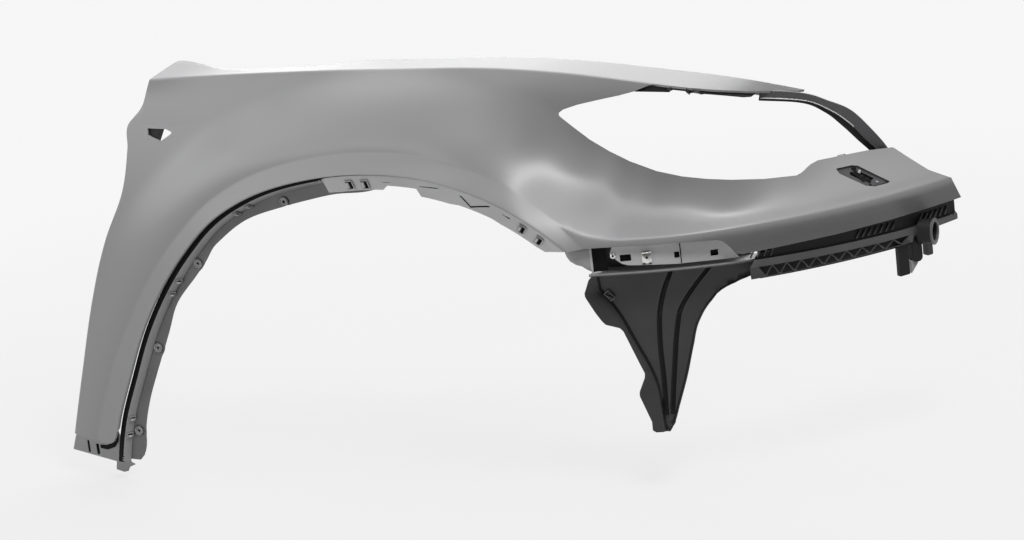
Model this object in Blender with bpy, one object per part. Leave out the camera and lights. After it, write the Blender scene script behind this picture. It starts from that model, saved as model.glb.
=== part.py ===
"""Right-hand front wing of a large car: moulded outer skin, wheel arch rims, bumper brackets and
headlight frame.  Metres, +X to the front of the car, +Y to the middle of the car, +Z up."""

import math

import bmesh
import bpy
import numpy as np
from mathutils import Matrix, Vector
from mathutils.geometry import delaunay_2d_cdt

for leftover in list(bpy.data.objects):
    bpy.data.objects.remove(leftover, do_unlink=True)

# Main sizes
# Every height and forward length is measured from the centre of the wheel arch.
ARCH_RADIUS = 0.475
SKIN_WALL = 0.003
MESH_STEP = 0.024
SHOULDER_HEIGHT = 0.597
SHOULDER_INSET = 0.100
SHOULDER_FOLLOW_SHARE = 0.6
REAR_FALL = 0.0155
NOSE_START = 0.100
NOSE_RUN = 0.450
NOSE_DROP = 0.088
CORNER_START = 0.100
CORNER_RADIUS = 0.700
CORNER_LIMIT_SHARE = 0.97
REAR_TUCK = 0.019
BODY_INSET = 0.030
LEAN_START = 0.300
LEAN_POWER = 1.8
FLARE_REACH = 0.100
FLARE_BLEND = 0.050
LIP_FLARE = 0.012
CREST_HEIGHT = 0.368
CREST_START = 0.300
ARM_START = 0.320
ARM_BLEND = 0.170
ARM_SLOPE_SHARE = 0.42
ARM_UNDERCUT_SHARE = 0.06
SCOOP_DEPTH = 0.020
SCOOP_REACH = 0.095
SCOOP_MIDDLE = 0.330
SCOOP_SPAN = 0.200
LINE_HEIGHT = 0.526
LINE_HOLLOW = 0.006
LINE_START = -0.400
LINE_FADE = 0.200
RETURN_DEPTH = 0.006
REAR_FLANGE = 0.016
TOP_DROP = 0.030
TOP_SHELF = 0.026
SHELF_DROP = 0.031
SHELF_HEIGHT = SHOULDER_HEIGHT - SHELF_DROP
SHELF_SINK = 0.018

# Wheel arch outlines: angle from straight ahead in degrees, then radius as a share of the arch radius
ARCH_EDGE_SHARES = [
    (46, 0.960),
    (52, 0.966),
    (57, 0.978),
    (64, 0.993),
    (75, 1.001),
    (90, 0.996),
    (100, 0.995),
    (114, 1.000),
    (122, 0.998),
    (131, 0.984),
    (140, 0.975),
    (150, 0.972),
    (160, 0.978),
    (170, 1.008),
    (176, 1.026),
]
ARCH_CREASE_SHARES = [
    (44, 0.985),
    (50, 0.990),
    (56, 1.019),
    (61, 1.038),
    (65, 1.052),
    (72, 1.061),
    (80, 1.061),
    (90, 1.056),
    (100, 1.053),
    (113, 1.056),
    (121, 1.053),
    (131, 1.040),
    (145, 1.036),
    (152, 1.041),
    (158, 1.055),
    (165, 1.073),
    (174, 1.109),
]
# Rear edge beside the door: height, then forward place, as shares of the arch radius
REAR_EDGE_SHARES = [
    (0.120, -1.209),
    (0.350, -1.131),
    (0.567, -1.058),
    (0.760, -0.977),
    (0.914, -0.897),
    (1.039, -0.873),
    (1.112, -0.868),
    (1.148, -0.834),
    (1.206, -0.810),
    (1.240, -0.795),
]
# Bonnet edge: forward place, then width of the top band inward of the shoulder, as shares
TOP_EDGE_SHARES = [
    (-0.760, 0.094),
    (-0.737, 0.090),
    (-0.700, 0.085),
    (-0.650, 0.074),
    (-0.550, 0.042),
    (-0.400, 0.044),
    (-0.270, 0.055),
    (-0.080, 0.096),
    (0.140, 0.100),
    (0.500, 0.134),
    (0.740, 0.163),
    (0.905, 0.179),
    (1.032, 0.175),
    (1.140, 0.165),
]
# Rise of the top band for each unit inward, along the car
TOP_RISE_SHARES = [
    (-0.800, 0.42),
    (-0.720, 0.40),
    (-0.550, 0.22),
    (-0.400, 0.10),
    (0.000, 0.06),
    (0.500, 0.03),
    (0.740, 0.00),
    (1.200, 0.00),
]
# Headlight opening, going forward along its lower edge: forward place and height
LAMP_LOW_SHARES = [
    (0.560, 1.125),
    (0.562, 1.117),
    (0.594, 1.091),
    (0.649, 1.047),
    (0.703, 1.011),
    (0.757, 0.980),
    (0.829, 0.947),
    (0.895, 0.926),
    (0.958, 0.912),
    (1.020, 0.901),
    (1.100, 0.890),
    (1.175, 0.884),
    (1.188, 0.890),
    (1.205, 0.906),
    (1.222, 0.913),
    (1.262, 0.913),
    (1.329, 0.911),
    (1.383, 0.903),
]
# Front end of the arm below the lamp, going down: forward place and height
ARM_END_SHARES = [
    (1.383, 0.903),
    (1.388, 0.899),
    (1.415, 0.868),
    (1.460, 0.816),
    (1.506, 0.775),
    (1.521, 0.707),
]
# Lower edge of the arm, going back to the wheel arch
ARM_LOW_SHARES = [
    (1.521, 0.707),
    (1.377, 0.704),
    (1.260, 0.700),
    (1.127, 0.697),
    (1.046, 0.694),
    (1.034, 0.697),
    (1.014, 0.727),
    (1.001, 0.742),
    (0.986, 0.747),
    (0.800, 0.752),
    (0.600, 0.757),
]
# Rounded lower corner between the arch and the sill
LOW_CORNER_SHARES = [
    (-1.005, 0.155),
    (-1.012, 0.138),
    (-1.024, 0.122),
    (-1.042, 0.112),
    (-1.070, 0.108),
    (-1.103, 0.110),
]
# Upper edge of the headlight opening, going back: forward place and height, then on the top band forward
# place and distance inward of the shoulder
LAMP_TOP_SHARES = [
    (1.130, 0.140),
    (1.057, 0.080),
    (1.032, 0.056),
    (0.968, 0.026),
    (0.905, 0.009),
    (0.816, 0.000),
]
LAMP_REAR_SHARES = [
    (0.764, 1.166),
    (0.724, 1.159),
    (0.611, 1.143),
    (0.572, 1.133),
]
# Side indicator opening and its shallow recess
INDICATOR_SHARES = [
    (-0.797, 1.097),
    (-0.730, 1.095),
    (-0.722, 1.091),
    (-0.710, 1.087),
    (-0.712, 1.081),
    (-0.747, 1.061),
    (-0.755, 1.062),
    (-0.796, 1.078),
]
# Washer opening in the arm
WASHER_SHARES = [
    (1.263, 0.881),
    (1.297, 0.881),
    (1.311, 0.876),
    (1.381, 0.814),
    (1.379, 0.810),
    (1.350, 0.810),
    (1.330, 0.818),
    (1.271, 0.866),
]


def smooth_step(t):
    """0 to 1 with level ends."""
    t = np.clip(t, 0, 1)
    return t * t * (3 - 2 * t)


def through(x, points):
    """Smooth curve through the points of a table, with a straight run past its ends."""
    px, py = np.array(points, float).T
    x = np.asarray(x, float)
    gap = np.diff(px)
    rate = np.diff(py) / gap
    inner = (rate[:-1] * gap[1:] + rate[1:] * gap[:-1]) / (gap[:-1] + gap[1:])
    slope = np.concatenate([rate[:1], inner, rate[-1:]])
    i = np.clip(np.searchsorted(px, x) - 1, 0, len(gap) - 1)
    t = (x - px[i]) / gap[i]
    s = np.clip(t, 0, 1)
    value = (
        py[i] * (1 + 2 * s) * (1 - s) ** 2
        + py[i + 1] * s * s * (3 - 2 * s)
        + gap[i] * (slope[i] * s * (1 - s) ** 2 - slope[i + 1] * s * s * (1 - s))
    )
    return value + (t - s) * gap[i] * np.where(t < 0, slope[i], slope[i + 1])


def sized(x, points):
    """A table written in shares of the arch radius, read in metres."""
    return ARCH_RADIUS * through(np.asarray(x) / ARCH_RADIUS, points)


def plan_depth(x):
    """Inward depth of the outer face seen from above: the front turns round the corner of the car."""
    ahead = np.clip(x - CORNER_START, 0, CORNER_LIMIT_SHARE * CORNER_RADIUS)
    behind = np.minimum(x, 0) / ARCH_RADIUS
    return CORNER_RADIUS - np.sqrt(CORNER_RADIUS**2 - ahead**2) + REAR_TUCK * behind**2


def shoulder_height(x):
    """Height of the crease between side and top band."""
    fall = REAR_FALL * (np.minimum(x, 0) / ARCH_RADIUS) ** 2
    nose = NOSE_DROP * (np.maximum(x - NOSE_START, 0) / NOSE_RUN) ** 2
    return SHOULDER_HEIGHT - fall - nose


def shoulder_depth(x):
    return SHOULDER_INSET + SHOULDER_FOLLOW_SHARE * plan_depth(np.maximum(x, 0))


def arch_radius_at(x, z, table):
    angle = np.degrees(np.arctan2(z, x))
    return ARCH_RADIUS * through(angle, table)


def smooth_min(a, b, width):
    h = np.clip(1 - abs(a - b) / width, 0, 1)
    return np.minimum(a, b) - h * h * width / 4


def side_depth(x, z):
    """Inward depth of the outer face at a place and height below the shoulder."""
    x, z = np.broadcast_arrays(np.asarray(x, float), np.asarray(z, float))
    plan = plan_depth(x)
    top = shoulder_height(x)
    lean = np.clip((z - LEAN_START) / (top - LEAN_START), 0, None) ** LEAN_POWER
    body = plan + BODY_INSET + (shoulder_depth(x) - plan - BODY_INSET) * lean
    crease = arch_radius_at(x, z, ARCH_CREASE_SHARES)
    edge = arch_radius_at(x, z, ARCH_EDGE_SHARES)
    beyond = np.hypot(x, z) - crease
    above = np.hypot(z - CREST_HEIGHT, np.minimum(x - CREST_START, 0))
    near = smooth_min(beyond, above, FLARE_BLEND)
    crest = plan + LIP_FLARE
    body = crest + (body - crest) * smooth_step(near / FLARE_REACH)
    rise = np.clip((z - LINE_HEIGHT) / (top - LINE_HEIGHT), 0, 1)
    hollow = LINE_HOLLOW * 4 * rise * (1 - rise) * (1 - smooth_step((x - LINE_START) / LINE_FADE))
    height = z - CREST_HEIGHT
    slope = np.where(height > 0, ARM_SLOPE_SHARE, -ARM_UNDERCUT_SHARE)
    arm = plan + slope * height
    mix = smooth_step((x - ARM_START) / ARM_BLEND)
    depth = (body + hollow) * (1 - mix) + arm * mix
    rise = np.clip(np.where(height > 0, near, 0) / SCOOP_REACH, 0, 1)
    scoop = SCOOP_DEPTH * 6.75 * rise * (1 - rise) ** 2
    depth = depth + scoop * smooth_step(1 - abs(x - SCOOP_MIDDLE) / SCOOP_SPAN)
    lip = plan + LIP_FLARE * (1 + np.clip(beyond / (crease - edge), -1, 0))
    return np.where((beyond < 0) & (x < ARM_START), lip, depth)


def rear_edge(z):
    return sized(z, REAR_EDGE_SHARES)


def skin_point(u, v):
    """Outer face of the skin.  u runs forward; v is measured from the shoulder crease, negative down the
    side, positive inward over the top band and on round the folds of the bonnet flange."""
    u = np.asarray(u, float)
    v = np.asarray(v, float)
    x = u.copy()
    top = shoulder_height(x)
    z = top + np.minimum(v, 0)
    back = np.where(v <= 0, np.clip(rear_edge(z) - x, 0, None), 0)
    x = x + back
    radius = np.hypot(x, z)
    short = np.clip(arch_radius_at(x, z, ARCH_EDGE_SHARES) - radius, 0, RETURN_DEPTH * 2)
    short = np.where(x < ARM_START, short, 0)
    grow = 1 + short / radius
    y = side_depth(x * grow, z * grow) + back + short
    band = sized(u, TOP_EDGE_SHARES)
    inward = np.clip(v, 0, band)
    over = np.clip(v - band, 0, None)
    z_edge = z + through(u / ARCH_RADIUS, TOP_RISE_SHARES) * inward
    shelf = np.minimum(SHELF_HEIGHT, shoulder_height(u) - SHELF_SINK)
    z_band = z_edge + (shelf - z_edge) * np.clip(over / TOP_DROP, 0, 1)
    y = y + inward + np.clip(over - TOP_DROP, 0, None)
    return np.stack([x * grow, y, np.where(v > 0, z_band, z * grow)], axis=-1)


# Building tools
DATUM_FORWARD = -0.030
DATUM_INWARD = 0.1625
DATUM = Vector((DATUM_FORWARD, DATUM_INWARD, SHELF_HEIGHT))
JOINT_GAP = 0.0003
EDGE_ROUND = 0.0006
PROBE = 0.0006
TINY = 1e-6
POINT_CLEAR_SHARE = 0.62
FULL_TURN = 2 * math.pi
SMOOTH_ANGLE = math.radians(28)


def material(name, colour, roughness, metallic=0.0):
    found = bpy.data.materials.new(name)
    found.use_nodes = True
    shader = found.node_tree.nodes["Principled BSDF"]
    shader.inputs["Base Color"].default_value = (*colour, 1)
    shader.inputs["Roughness"].default_value = roughness
    shader.inputs["Metallic"].default_value = metallic
    found.diffuse_color = (*colour, 1)
    return found


def add_object(name, mesh, finish, at=None, axes=None):
    """Object whose mesh is written about its own origin, standing at a place in arch coordinates."""
    piece = bpy.data.objects.new(name, mesh)
    bpy.context.scene.collection.objects.link(piece)
    mesh.materials.append(finish)
    mesh.polygons.foreach_set("use_smooth", [True] * len(mesh.polygons))
    mesh.set_sharp_from_angle(angle=SMOOTH_ANGLE)
    if at is not None:
        piece.location = Vector(at) - DATUM
    if axes is not None:
        piece.rotation_euler = Matrix(np.array(axes, float).T.tolist()).to_euler()
    return piece


def fine_line(points, step, closed):
    """The corners of a line with more points between them, none further apart than the step."""
    points = np.array(points, float)
    ends = np.vstack([points, points[:1]]) if closed else points
    out = []
    for a, b in zip(ends[:-1], ends[1:]):
        count = max(1, math.ceil(np.linalg.norm(b - a) / step - TINY))
        out.extend(a + (b - a) * k / count for k in range(count))
    if not closed:
        out.append(ends[-1])
    return np.array(out)


def inside(points, loop):
    x, y = points[:, 0][:, None], points[:, 1][:, None]
    ax, ay = loop[:, 0], loop[:, 1]
    bx, by = np.roll(ax, -1), np.roll(ay, -1)
    crosses = (ay > y) != (by > y)
    run = np.where(by == ay, 1, by - ay)
    return (crosses & (x < ax + (y - ay) / run * (bx - ax))).sum(axis=1) % 2 == 1


def sheet_mesh(name, loop, place, step, holes=(), folds=()):
    """Triangles inside a flat outline, with its holes and fold lines kept as edges, laid on a surface."""
    lines = [(fine_line(loop, step, True), True)]
    lines += [(fine_line(hole, step, True), True) for hole in holes]
    lines += [(fine_line(fold, step, False), False) for fold in folds]
    points, edges = [], []
    for line, closed in lines:
        first = len(points)
        points.extend(line)
        edges += [(first + k, first + k + 1) for k in range(len(line) - 1)]
        if closed:
            edges.append((first + len(line) - 1, first))
    fixed = np.array(points)
    low, high = fixed.min(axis=0), fixed.max(axis=0)
    row = step * math.sin(FULL_TURN / 6)
    across = np.arange(low[0], high[0], step)
    up = np.arange(low[1], high[1], row)
    grid = np.array([(x + step / 2 * (k % 2), y) for k, y in enumerate(up) for x in across])
    if len(grid):
        keep = inside(grid, lines[0][0])
        for line, _ in lines[1 : 1 + len(holes)]:
            keep &= ~inside(grid, line)
        grid = grid[keep]
        away = np.array([np.linalg.norm(fixed - g, axis=1).min() for g in grid])
        clear = away > step * POINT_CLEAR_SHARE
        points.extend(grid[clear] if len(grid) else [])
    flat, _, faces, *_ = delaunay_2d_cdt([Vector(p) for p in points], edges, [], 0, TINY)
    flat = np.array([tuple(p) for p in flat])
    faces = np.array([tuple(f) for f in faces])
    middle = flat[faces].mean(axis=1)
    keep = inside(middle, lines[0][0])
    for line, _ in lines[1 : 1 + len(holes)]:
        keep &= ~inside(middle, line)
    faces = faces[keep]
    a, b, c = (flat[faces[:, k]] for k in range(3))
    area = (b - a)[:, 0] * (c - a)[:, 1] - (b - a)[:, 1] * (c - a)[:, 0]
    faces = np.where((area < 0)[:, None], faces[:, ::-1], faces)
    used, index = np.unique(faces, return_inverse=True)
    flat = flat[used]
    solid = place(flat[:, 0], flat[:, 1])
    mesh = bpy.data.meshes.new(name)
    mesh.from_pydata([tuple(p) for p in solid - np.array(DATUM)], [], index.reshape(faces.shape).tolist())
    return mesh


def sheet(name, loop, place, wall, step, finish, holes=(), folds=(), side=-1):
    """Sheet of even wall.  The surface is its outer face; side +1 puts the wall outside instead."""
    piece = add_object(name, sheet_mesh(name, loop, place, step, holes, folds), finish)
    grow = piece.modifiers.new("wall", "SOLIDIFY")
    grow.thickness = wall
    grow.offset = side
    grow.use_even_offset = True
    grow.use_quality_normals = True
    return piece


def facing(place, u, v):
    """Point on a surface with its forward, upward and outward directions."""
    d = PROBE
    u = np.array([u, u + d, u - d, u, u], float)
    v = np.array([v, v, v, v + d, v - d], float)
    p = place(u, v)
    along = (p[1] - p[2]) / np.linalg.norm(p[1] - p[2])
    up = p[3] - p[4]
    up = up - along * np.dot(up, along)
    up = up / np.linalg.norm(up)
    return p[0], along, up, np.cross(along, up)


def behind(place, depth):
    """The same surface moved inward by a depth."""

    def moved(u, v):
        d = PROBE
        du = place(u + d, v) - place(u - d, v)
        dv = place(u, v + d) - place(u, v - d)
        out = np.cross(du, dv)
        return place(u, v) - depth * out / np.linalg.norm(out, axis=-1, keepdims=True)

    return moved


def block_mesh(name, size, rounding=EDGE_ROUND):
    shape = bmesh.new()
    bmesh.ops.create_cube(shape, size=1)
    bmesh.ops.scale(shape, vec=Vector(size), verts=shape.verts)
    if rounding:
        bmesh.ops.bevel(shape, geom=shape.edges[:], offset=rounding, segments=1, affect="EDGES")
    mesh = bpy.data.meshes.new(name)
    shape.to_mesh(mesh)
    shape.free()
    return mesh


def tube_mesh(name, outer, length, inner=0.0, sides=24):
    """Round piece along its own Z, from zero to its length, with a bore when inner is given."""
    shape = bmesh.new()
    turn = [FULL_TURN * k / sides for k in range(sides)]
    chamfer = min(EDGE_ROUND, outer / 6)
    rings = [(outer - chamfer, 0), (outer, chamfer), (outer, length - chamfer), (outer - chamfer, length)]
    if inner:
        rings += [(inner + chamfer, length), (inner, length - chamfer)]
        rings += [(inner, chamfer), (inner + chamfer, 0)]
    rows = [[shape.verts.new((r * math.cos(a), r * math.sin(a), z)) for a in turn] for r, z in rings]
    pairs = list(zip(rows[:-1], rows[1:])) + ([(rows[-1], rows[0])] if inner else [])
    for low, high in pairs:
        for k in range(sides):
            n = (k + 1) % sides
            shape.faces.new((low[k], low[n], high[n], high[k]))
    if not inner:
        shape.faces.new(rows[0][::-1])
        shape.faces.new(rows[-1])
    bmesh.ops.recalc_face_normals(shape, faces=shape.faces)
    mesh = bpy.data.meshes.new(name)
    shape.to_mesh(mesh)
    shape.free()
    return mesh


def combine(piece, tools, operation):
    """Joins helper shapes to a piece, or cuts them from it."""
    for tool in tools:
        tool.hide_render = True
        tool.display_type = "WIRE"
        step = piece.modifiers.new(operation.lower(), "BOOLEAN")
        step.operation = operation
        step.solver = "EXACT"
        step.object = tool


# Outer skin
# One moulding of primed plastic, 3 mm thick, with folded flanges at the bonnet, door and wheel arch.
PRIMER = material("primer_grey", (0.215, 0.215, 0.22), 0.42)
SLOT_LONG = 0.014
SLOT_WIDE = 0.008
SLOT_PLACE_SHARES = (-0.52, -0.22, 0.12, 0.46, 0.78)
FLANGE_TAPER = 0.012
FLANGE_LOW = 0.085
FLANGE_HIGH = 0.545
SHELF_REAR = -0.300
SHELF_FRONT = 0.500
TAPER_RUN = 0.006
CREASE_REAR = 0.340
CREASE_OVER = 0.010
CHARACTER_END = -0.205
TIP_BULGE_SHARE = 0.52
SHOULDER_END_SHARE = 0.816
ARM_TIP_SHARE = 1.52
EDGE_FRONT_ANGLE = 51.5
EDGE_LOW_ANGLE = 170.5
CREASE_FRONT_ANGLE = 48.5
CREASE_LOW_ANGLE = 176.0
FOLD_FRONT_ANGLE = 50.5
FOLD_LOW_ANGLE = 171.4


def shares(points):
    return ARCH_RADIUS * np.array(points, float)


def flat_side(x, z):
    """Side point of the skin in its flat coordinates."""
    x = np.asarray(x, float)
    return np.stack([x, z - shoulder_height(x)], axis=-1)


def flat_table(points):
    x, z = shares(points).T
    return flat_side(x, z)


def arc_points(table, first, last, count, change=0.0):
    """Points on a wheel arch outline between two angles, moved outward by a change."""
    angle = np.linspace(first, last, count)
    radius = ARCH_RADIUS * through(angle, table) + change
    angle = np.radians(angle)
    return radius * np.cos(angle), radius * np.sin(angle)


def slot(u, v, long, wide, corner_share=0.3):
    a, b, c = long / 2, wide / 2, min(long, wide) * corner_share
    ring = [(-a + c, -b), (a - c, -b), (a, -b + c), (a, b - c)]
    ring += [(a - c, b), (-a + c, b), (-a, b - c), (-a, -b + c)]
    return [(u + x, v + y) for x, y in ring]


def band_line(places, extra):
    places = np.asarray(places, float)
    return np.stack([places, sized(places, TOP_EDGE_SHARES) + extra], axis=-1)


def skin_loop():
    low = REAR_EDGE_SHARES[0][0] * ARCH_RADIUS
    z = np.linspace(FLANGE_LOW + FLANGE_TAPER, FLANGE_HIGH, 22)
    z_up = np.array([FLANGE_HIGH + FLANGE_TAPER, REAR_EDGE_SHARES[-2][0] * ARCH_RADIUS])
    corner_u = ARCH_RADIUS * REAR_EDGE_SHARES[-1][1]
    tip_u, tip_v = shares(TOP_EDGE_SHARES[1])
    rear_top = [(corner_u, 0.0), ((corner_u + tip_u) / 2, tip_v * TIP_BULGE_SHARE), (tip_u, tip_v)]
    shelf = np.linspace(SHELF_REAR + TAPER_RUN, SHELF_FRONT, 34)
    parts = [
        flat_side(rear_edge(low), low),
        flat_side(rear_edge(FLANGE_LOW), FLANGE_LOW),
        flat_side(rear_edge(z) - REAR_FLANGE, z),
        flat_side(rear_edge(z_up), z_up),
        rear_top,
        band_line([SHELF_REAR - MESH_STEP, SHELF_REAR], 0.0),
        band_line(shelf, TOP_DROP + TOP_SHELF),
        band_line([SHELF_FRONT + TAPER_RUN, ARCH_RADIUS * TOP_EDGE_SHARES[-1][0]], 0.0),
        shares(LAMP_TOP_SHARES),
        flat_table(LAMP_REAR_SHARES),
        flat_table(LAMP_LOW_SHARES),
        flat_table(ARM_END_SHARES[1:]),
        flat_table(ARM_LOW_SHARES[1:]),
        flat_side(*arc_points(ARCH_EDGE_SHARES, EDGE_FRONT_ANGLE, EDGE_LOW_ANGLE, 62, -RETURN_DEPTH)),
        flat_table(LOW_CORNER_SHARES),
    ]
    return np.vstack([np.atleast_2d(p) for p in parts])


def skin_folds():
    z = np.linspace(FLANGE_LOW - CREASE_OVER, FLANGE_HIGH + FLANGE_TAPER, 24)
    u = np.linspace(ARCH_RADIUS * REAR_EDGE_SHARES[-1][1], ARCH_RADIUS * SHOULDER_END_SHARE, 40)
    along = np.linspace(SHELF_REAR, SHELF_FRONT, 36)
    arm = np.linspace(CREASE_REAR, ARCH_RADIUS * ARM_TIP_SHARE, 18)
    line = np.linspace(rear_edge(LINE_HEIGHT), CHARACTER_END, 9)
    return [
        flat_side(rear_edge(z), z),
        np.stack([u, np.zeros_like(u)], axis=-1),
        band_line(along, 0.0),
        band_line(along, TOP_DROP),
        flat_side(arm, CREST_HEIGHT),
        flat_side(line, LINE_HEIGHT),
        flat_side(*arc_points(ARCH_CREASE_SHARES, CREASE_FRONT_ANGLE, CREASE_LOW_ANGLE, 66)),
        flat_side(*arc_points(ARCH_EDGE_SHARES, FOLD_FRONT_ANGLE, FOLD_LOW_ANGLE, 62)),
    ]


SKIN_HOLES = [flat_table(INDICATOR_SHARES), flat_table(WASHER_SHARES)]
SKIN_HOLES += [
    slot(
        ARCH_RADIUS * s,
        float(sized(ARCH_RADIUS * s, TOP_EDGE_SHARES)) + TOP_DROP + TOP_SHELF / 2,
        SLOT_LONG,
        SLOT_WIDE,
    )
    for s in SLOT_PLACE_SHARES
]
sheet("fender_skin", skin_loop(), skin_point, SKIN_WALL, MESH_STEP, PRIMER, SKIN_HOLES, skin_folds())


# Wheel arch rims
# Two strips of grey plastic behind the arch edge that carry the clips of the wheelhouse liner.
RIM_GREY = material("rim_grey", (0.19, 0.19, 0.195), 0.45)
RIM_START = 0.0045
RIM_GAP = 0.0006
RIM_WALL = 0.002
RIM_REAR_DEPTH = 0.026
RIM_FRONT_DEPTH = 0.0205
RIM_REAR_SLOPE_SHARE = 0.45
RIM_FRONT_SLOPE_SHARE = 1.75
RIM_JOINT_ANGLE = 97.5
RIM_LOW_ANGLE = 175.0
RIM_FRONT_ANGLE = 53.5
RIM_STEP = 0.018
# Inner edge of the front strip: angle, then depth as a share of the full depth
RIM_FRONT_EDGE_SHARES = [
    (53.5, 1.00),
    (64.0, 1.00),
    (66.0, 0.92),
    (72.0, 0.90),
    (74.5, 1.00),
    (79.0, 1.00),
    (80.0, 0.74),
    (85.0, 0.74),
    (86.5, 0.90),
    (95.0, 0.95),
    (97.5, 0.80),
]


def rim_u(angle):
    return -ARCH_RADIUS * np.radians(angle)


def rim_surface(slope_share):
    def place(u, v):
        angle = -u / ARCH_RADIUS
        edge = ARCH_RADIUS * through(np.degrees(angle), ARCH_EDGE_SHARES)
        radius = edge - RIM_GAP - slope_share * (v - RIM_START)
        x, z = radius * np.cos(angle), radius * np.sin(angle)
        return np.stack([x, plan_depth(edge * np.cos(angle)) + v, z], axis=-1)

    return place


rim_rear_place = rim_surface(RIM_REAR_SLOPE_SHARE)
rim_front_place = rim_surface(RIM_FRONT_SLOPE_SHARE)
rear_angles = np.linspace(RIM_LOW_ANGLE, RIM_JOINT_ANGLE, 40)
rear_u = rim_u(rear_angles)
rear_loop = [(u, RIM_START) for u in rear_u] + [(u, RIM_REAR_DEPTH) for u in rear_u[::-1]]
sheet("arch_rim_rear", rear_loop, rim_rear_place, RIM_WALL, RIM_STEP, RIM_GREY)
front_angles = np.linspace(RIM_JOINT_ANGLE, RIM_FRONT_ANGLE, 26)
front_u = rim_u(front_angles) + JOINT_GAP
front_loop = [(u, RIM_START) for u in front_u]
front_loop += [
    (float(rim_u(angle)) + JOINT_GAP, RIM_FRONT_DEPTH * share) for angle, share in RIM_FRONT_EDGE_SHARES
]
sheet("arch_rim_front", front_loop, rim_front_place, RIM_WALL, RIM_STEP, RIM_GREY)

# Liner flange
# Upright grey strip at the back of the rear rim, scalloped, with round screw bosses for the liner.
LINER_EDGE_SHARES = [
    (87.5, 0.945),
    (90, 0.934),
    (97.5, 0.931),
    (103, 0.929),
    (109, 0.933),
    (118, 0.947),
    (127, 0.942),
    (131, 0.929),
    (143, 0.927),
    (148, 0.915),
    (159, 0.918),
    (164, 0.929),
    (171, 0.943),
    (175, 0.966),
]


def liner_place(u, v):
    angle = -u / ARCH_RADIUS
    edge = ARCH_RADIUS * through(np.degrees(angle), ARCH_EDGE_SHARES)
    depth = plan_depth(edge * np.cos(angle)) + RIM_REAR_DEPTH + JOINT_GAP
    radius = ARCH_RADIUS + v
    return np.stack([radius * np.cos(angle), depth, radius * np.sin(angle)], axis=-1)


LINER_FRONT_ANGLE = 87.5
liner_angles = np.linspace(RIM_LOW_ANGLE, LINER_FRONT_ANGLE, 44)
liner_u = rim_u(liner_angles)
liner_edge_radius = ARCH_RADIUS * through(liner_angles, ARCH_EDGE_SHARES)
liner_top = liner_edge_radius - RIM_GAP - RIM_REAR_SLOPE_SHARE * (RIM_REAR_DEPTH - RIM_START) - ARCH_RADIUS
liner_low = ARCH_RADIUS * through(liner_angles, LINER_EDGE_SHARES) - ARCH_RADIUS
liner_loop = list(zip(liner_u, liner_low)) + list(zip(liner_u[::-1], liner_top[::-1]))
sheet("liner_flange", liner_loop, liner_place, RIM_WALL, RIM_STEP, RIM_GREY)

BOSS_RADIUS = 0.0062
BOSS_BORE = 0.0028
BOSS_HEIGHT = 0.004
BOSS_SHARES = [(108.0, 0.946), (132.0, 0.943), (153.0, 0.932), (171.5, 0.968)]
for count, (angle, share) in enumerate(BOSS_SHARES, 1):
    spot, along, up, out = facing(liner_place, float(rim_u(angle)), ARCH_RADIUS * (share - 1))
    boss = tube_mesh(f"liner_boss_{count}", BOSS_RADIUS, BOSS_HEIGHT, BOSS_BORE, 20)
    add_object(f"liner_boss_{count}", boss, RIM_GREY, spot + out * JOINT_GAP, (along, up, out))

# Liner clips
# Square clip housings in pairs along the two rims; each has a slot for the tongue of the liner clip.
CLIP_LONG = 0.009
CLIP_DEEP = 0.012
CLIP_HIGH = 0.007
CLIP_SLOT = 0.0045
CLIP_FLOOR = 0.002
CLIP_REAR_DEPTH = 0.014
CLIP_REAR_ANGLES = (172.2, 168.8, 140.5, 137.3, 117.6, 114.6)
CLIP_FRONT_DEPTH = 0.012
CLIP_FRONT_ANGLES = (93.4, 90.2, 60.4, 57.0)


def liner_clip(name, place, angle, depth):
    spot, along, up, out = facing(place, float(rim_u(angle)), depth)
    lift = RIM_WALL + JOINT_GAP + CLIP_HIGH / 2
    axes = (along, -up, -out)
    box = block_mesh(name, (CLIP_LONG, CLIP_DEEP, CLIP_HIGH))
    body = add_object(name, box, RIM_GREY, spot - out * lift, axes)
    size = (CLIP_SLOT, CLIP_DEEP - 2 * CLIP_FLOOR, CLIP_HIGH)
    mouth = spot - out * (lift + CLIP_FLOOR)
    cutter = add_object(f"{name}_slot", block_mesh(name, size, 0), RIM_GREY, mouth, axes)
    combine(body, [cutter], "DIFFERENCE")


for count, angle in enumerate(CLIP_REAR_ANGLES, 1):
    liner_clip(f"liner_clip_rear_{count}", rim_rear_place, angle, CLIP_REAR_DEPTH)
for count, angle in enumerate(CLIP_FRONT_ANGLES, 1):
    liner_clip(f"liner_clip_front_{count}", rim_front_place, angle, CLIP_FRONT_DEPTH)

# Sill bracket
# Flat grey plate under the rear corner, with slots for the sill trim and a short leg.
SILL_PLANE = 0.0552
SILL_WALL = 0.002
SILL_TAB_LOW = 0.0875
SILL_TAB_TOP = 0.104
SILL_TAB_WIDE = 0.026
SILL_CLEAR = 0.0006
SILL_SHARES = [
    (-1.060, 0.170),
    (-1.045, 0.100),
    (-1.020, 0.075),
    (-1.022, 0.028),
    (-1.006, 0.020),
    (-1.030, 0.010),
    (-1.038, -0.004),
    (-1.054, -0.008),
    (-1.082, 0.000),
    (-1.076, 0.027),
    (-1.234, 0.061),
    (-1.215, 0.110),
    (-1.192, 0.114),
    (-1.190, 0.170),
]
# Slots of the plate: forward place, height, length, width
SILL_SLOT_SHARES = [
    (-1.166, 0.080, 0.0085, 0.0250),
    (-1.139, 0.066, 0.0125, 0.0125),
    (-1.099, 0.072, 0.0210, 0.0085),
]


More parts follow.
